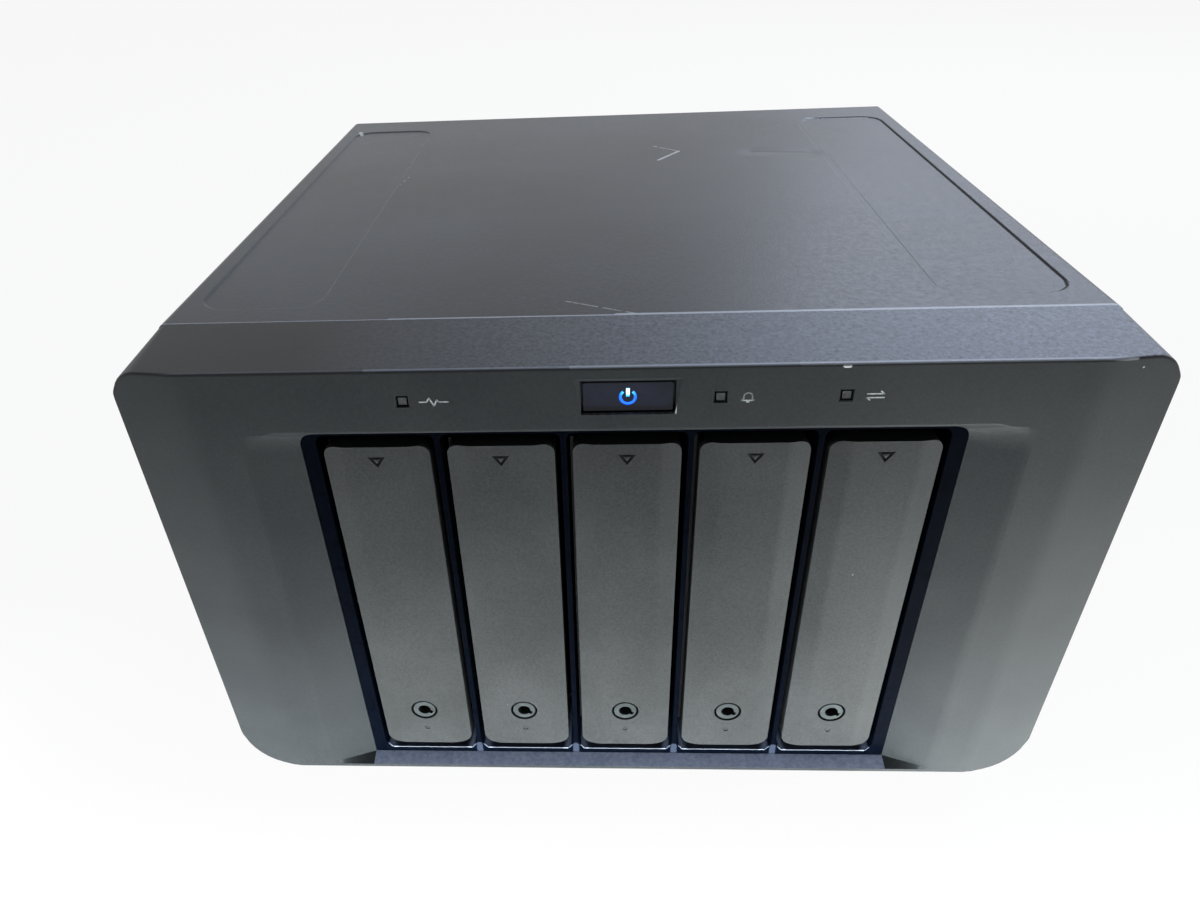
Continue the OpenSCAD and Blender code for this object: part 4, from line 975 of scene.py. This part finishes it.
# pictograms printed beside the lamps, thin enough to lie on the face
prints = {"line": 0.34, "thick": 0.04, "z": 156.5}


def stroke(start, end):
    # a straight printed line between two points of the face
    (x, z), (endX, endZ) = start, end
    half, front = prints["line"] / 2, cadLow.y / mm
    line = block("stroke", (x - half, front, z - half),
                 (x + math.hypot(endX - x, endZ - z) + half, front + prints["thick"], z + half))
    edit(line)
    reshape(lambda co: turned(co, x, z, math.atan2(endZ - z, endX - x)), everywhere)
    rounded(lambda a, c: abs(a.y - c.y) > prints["thick"] / 2, half * 0.9, 2)
    objectMode()
    return line


def drawing(name, centre, *lines):
    # strokes through the given points, round a place on the face
    strokes = []
    for line in lines:
        points = [(centre[0] + x, centre[1] + z) for x, z in line]
        strokes += [stroke(a, b) for a, b in zip(points, points[1:])]
    piece = join(*strokes)
    piece.name = piece.data.name = name
    piece.data.materials.append(finishes["ink"])
    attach(piece, "chassis")


arch = [(math.cos(math.radians(a)), 0.3 + 0.95 * math.sin(math.radians(a))) for a in range(180, -1, -30)]
drawing("printActivity", (-45.4, prints["z"]),
        [(-3.6, 0), (-1.9, 0), (-1.2, 1.1), (-0.2, -1.1), (0.6, 0.6), (1.0, 0), (3.2, 0)])
drawing("printBell", (27.6, prints["z"]),
        [(-1.4, -0.75), (-1.0, -0.35), *arch, (1.0, -0.35), (1.4, -0.75), (-1.4, -0.75)],
        [(-0.25, -1.15), (0.25, -1.15)])
drawing("printLink", (56.4, prints["z"]),
        [(-1.9, 0.5), (1.9, 0.5), (1.2, 1.1)], [(1.9, -0.5), (-1.9, -0.5), (-1.2, -1.1)])
print("pictograms")


# the fans: eased frames, and rotors with curved blades
fan = {"hub": 15.2, "hubRim": 2.2, "hubSunk": 0.4, "tip": 36.6, "root": 13.8, "blades": 7, "chord": (40, 50),
       "lean": 16, "thick": 1.2, "camber": 1.6, "margin": 1.6, "rimSoft": 1.6, "bladeSoft": 0.35, "soft": 0.5}


def makeRotor():
    f = fan
    low, high = nodeBox("fan_rotor_right")
    centre = middleOf("fan_frame_right")
    hub = rod("fanRotor_right", f["hub"], (centre.x, low.y, centre.z), (centre.x, high.y, centre.z), 64)
    edit(hub)
    select("FACE", lambda m, n: n.y > 0.9)
    bpy.ops.mesh.inset(thickness=f["hubRim"] * mm)
    pulled(0, -f["hubSunk"], 0)
    objectMode()
    soften(hub, f["rimSoft"], angle=60, steps=4)
    middle, reach = (low.y + high.y) / 2, (high.y - low.y) / 2 - f["margin"]
    bpy.ops.mesh.primitive_grid_add(x_subdivisions=8, y_subdivisions=10, size=1)
    blade = newPiece("blade")

    def curved(co):
        out, along, (rootChord, tipChord) = co.x * mm + 0.5, co.y * mm, f["chord"]
        radius = f["root"] + (f["tip"] - f["root"]) * out
        angle = math.radians(f["lean"] * out ** 2 + along * (rootChord + (tipChord - rootChord) * out))
        depth = middle - 2 * reach * along + f["camber"] * (1 - 4 * along ** 2) * (1 - 0.4 * out)
        return centre.x + radius * math.cos(angle), depth, centre.z + radius * math.sin(angle)

    modify(reshaped(blade, curved), "SOLIDIFY", thickness=f["thick"] * mm, offset=0)
    soften(blade, f["bladeSoft"], angle=50)
    others = [copyTo(blade, f"blade_{k}",
                     lambda co: turned(co, centre.x, centre.z, 2 * math.pi * k / f["blades"]))
              for k in range(1, f["blades"])]
    return join(hub, blade, *others), 2 * centre.x


rotor, fanPitch = makeRotor()
leftRotor = copyTo(rotor, "fanRotor_left", lambda co: (co.x - fanPitch, co.y, co.z))
for side, spun in (("right", rotor), ("left", leftRotor)):
    dress(spun, "fan_plastic", f"fan_{side}", f"fan_rotor_{side}")
    dress(soften(copyOf(f"fan_frame_{side}", f"fanFrame_{side}"), fan["soft"]), "fan_plastic", "chassis",
          f"fan_frame_{side}")
print("fans")


# what closes the back and the bottom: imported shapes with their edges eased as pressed, moulded or turned
eased = {
    "rear_panel": ("rearPanel", "panel_paint", 0.12, 1),
    "cover_screws": ("coverScrews", "screw_steel", 0.4, 3), "fan_screws": ("fanScrews", "screw_steel", 0.4, 3),
    "mains_inlet": ("mainsInlet", "black_connector", 0.5, 2),
    "expansion_port": ("expansionPort", "zinc_steel", 0.25, 2),
    "rubber_feet": ("rubberFeet", "foot_rubber", 1.1, 4),
    "security_slot_plate": ("lockSlotPlate", "zinc_steel", 0.2, 1),
    "base_pan": ("basePan", "zinc_steel", 0.25, 1)}
# round the inlet's pins: half the width, how far in from the back, half the height
inletPins = (3.2, 13.9, 9.2)
for nodeName, (name, slotName, width, steps) in eased.items():
    piece = copyOf(nodeName, name)
    if nodeName == "mains_inlet":
        # its three pins are nickel plated
        back, centre = nodeBox(nodeName)[1].y, middleOf(nodeName)
        piece.data.materials.append(finishes[slotName])
        inlay(piece, "pin_steel", lambda m, n: m.y > back - inletPins[1] and abs(m.x - centre.x) < inletPins[0]
              and abs(m.z - centre.z) < inletPins[2])
    dress(soften(piece, width, steps=steps), slotName, "chassis", nodeName)
print("back and bottom")


# a plain pale floor, a soft room, soft lamps and the camera, in metres and degrees
stage = {"floorSize": 6.0, "floorColour": "#d2d2d2", "whiteShare": 0.93, "roomTone": 0.06}
view = {"place": (-0.0057, -0.2929, 0.2575), "yaw": -3.97, "pitch": 34.0, "roll": -2.85, "lens": 25.57,
        "shift": (0.0375, 0.0031)}


def paleRays(tree):
    # 1 for what the camera sees directly, or in something shiny or clear
    ray = addNode(tree, "ShaderNodeLightPath")
    either = addNode(tree, "ShaderNodeMath", {0: ray.outputs["Is Camera Ray"], 1: ray.outputs["Is Glossy Ray"]},
                     operation="MAXIMUM")
    return addNode(tree, "ShaderNodeMath", {0: either.outputs[0], 1: ray.outputs["Is Transmission Ray"]},
                   operation="MAXIMUM").outputs[0]


def makeFloor():
    objectMode()
    bpy.ops.mesh.primitive_plane_add(size=stage["floorSize"], location=(0, 0, 0))
    floor = bpy.context.object
    floor.name = "floor"
    material = bpy.data.materials.new("paleFloor")
    material.use_nodes = True
    tree = material.node_tree
    tree.nodes.clear()
    white = addNode(tree, "ShaderNodeBsdfDiffuse", {"Color": toLinear(stage["floorColour"])})
    bright = addNode(tree, "ShaderNodeEmission", {"Color": (1, 1, 1, 1), "Strength": 1.0})
    share = addNode(tree, "ShaderNodeMath", {0: paleRays(tree), 1: stage["whiteShare"]}, operation="MULTIPLY")
    both = addNode(tree, "ShaderNodeMixShader", {"Fac": share.outputs[0], 1: white.outputs[0],
                                                 2: bright.outputs[0]})
    addNode(tree, "ShaderNodeOutputMaterial", {"Surface": both.outputs[0]})
    floor.data.materials.append(material)


def makeRoom():
    world = bpy.data.worlds.new("softRoom")
    bpy.context.scene.world = world
    world.use_nodes = True
    tree = world.node_tree
    tree.nodes.clear()
    room = addNode(tree, "ShaderNodeBackground", {"Color": toLinear("#e6ecf4"), "Strength": stage["roomTone"]})
    seen = addNode(tree, "ShaderNodeBackground", {"Color": (1, 1, 1, 1), "Strength": 1.0})
    mixed = addNode(tree, "ShaderNodeMixShader", {"Fac": paleRays(tree), 1: room.outputs[0],
                                                  2: seen.outputs[0]})
    addNode(tree, "ShaderNodeOutputWorld", {"Surface": mixed.outputs[0]})


def makeLamp(name, where, target, size, power, colour):
    lamp = bpy.data.lights.new(name, "AREA")
    lamp.shape, lamp.size, lamp.size_y = "RECTANGLE", size[0], size[1]
    lamp.energy, lamp.color = power, toLinear(colour)[:3]
    holder = bpy.data.objects.new(name, lamp)
    bpy.context.scene.collection.objects.link(holder)
    holder.location = where
    holder.rotation_euler = (Vector(target) - Vector(where)).to_track_quat("-Z", "Y").to_euler()
    return holder


def makeLamps():
    # a window behind, a ceiling lamp and the table's own glow, of which only one lamp shows as a gleam
    makeLamp("backKey", (0.75, 0.95, 1.0), (0.05, 0, 0.16), (1.1, 0.7), 13.5, "#d6e2fa")
    makeLamp("overhead", (-0.1, 0.6, 1.25), (0, 0, 0.1), (1.0, 0.6), 1.6, "#eaf0f0")
    for name, where, target, size, power in (
            ("tableGlow", (0.03, -0.19, 0.01), (0.03, -0.12, 0.004), (0.5, 0.02), 1.3),
            ("leftGlow", (-0.28, -0.18, 0.012), (-0.12, -0.12, 0.012), (0.15, 0.03), 0.9),
            ("rightGlow", (0.34, -0.19, 0.04), (0.06, -0.12, 0.05), (0.2, 0.1), 0.7),
            ("windowPatch", (0.2, -0.2, 0.003), (0.2, -0.2, 1), (0.24, 0.2), 0.4)):
        glow = makeLamp(name, where, target, size, power, "#f4f9f6")
        glow.visible_camera, glow.visible_glossy = False, name == "windowPatch"
        glow.visible_diffuse = name != "windowPatch"


def makeCamera():
    yaw, pitch, roll = [math.radians(view[name]) for name in ("yaw", "pitch", "roll")]
    ahead = Vector((math.sin(yaw) * math.cos(pitch), math.cos(yaw) * math.cos(pitch), -math.sin(pitch)))
    level = Vector((math.cos(yaw), -math.sin(yaw), 0))
    upright = level.cross(ahead)
    right = level * math.cos(roll) + upright * math.sin(roll)
    up = upright * math.cos(roll) - level * math.sin(roll)
    data = bpy.data.cameras.new("camera")
    data.lens, data.sensor_width, data.clip_start = view["lens"], 36, 0.01
    data.shift_x, data.shift_y = view["shift"]
    camera = bpy.data.objects.new("camera", data)
    bpy.context.scene.collection.objects.link(camera)
    camera.location = view["place"]
    camera.rotation_euler = Matrix((right, up, -ahead)).transposed().to_euler()
    bpy.context.scene.camera = camera


makeFloor()
makeRoom()
makeLamps()
makeCamera()
bpy.context.scene.view_settings.view_transform = "Standard"
print("stage set")
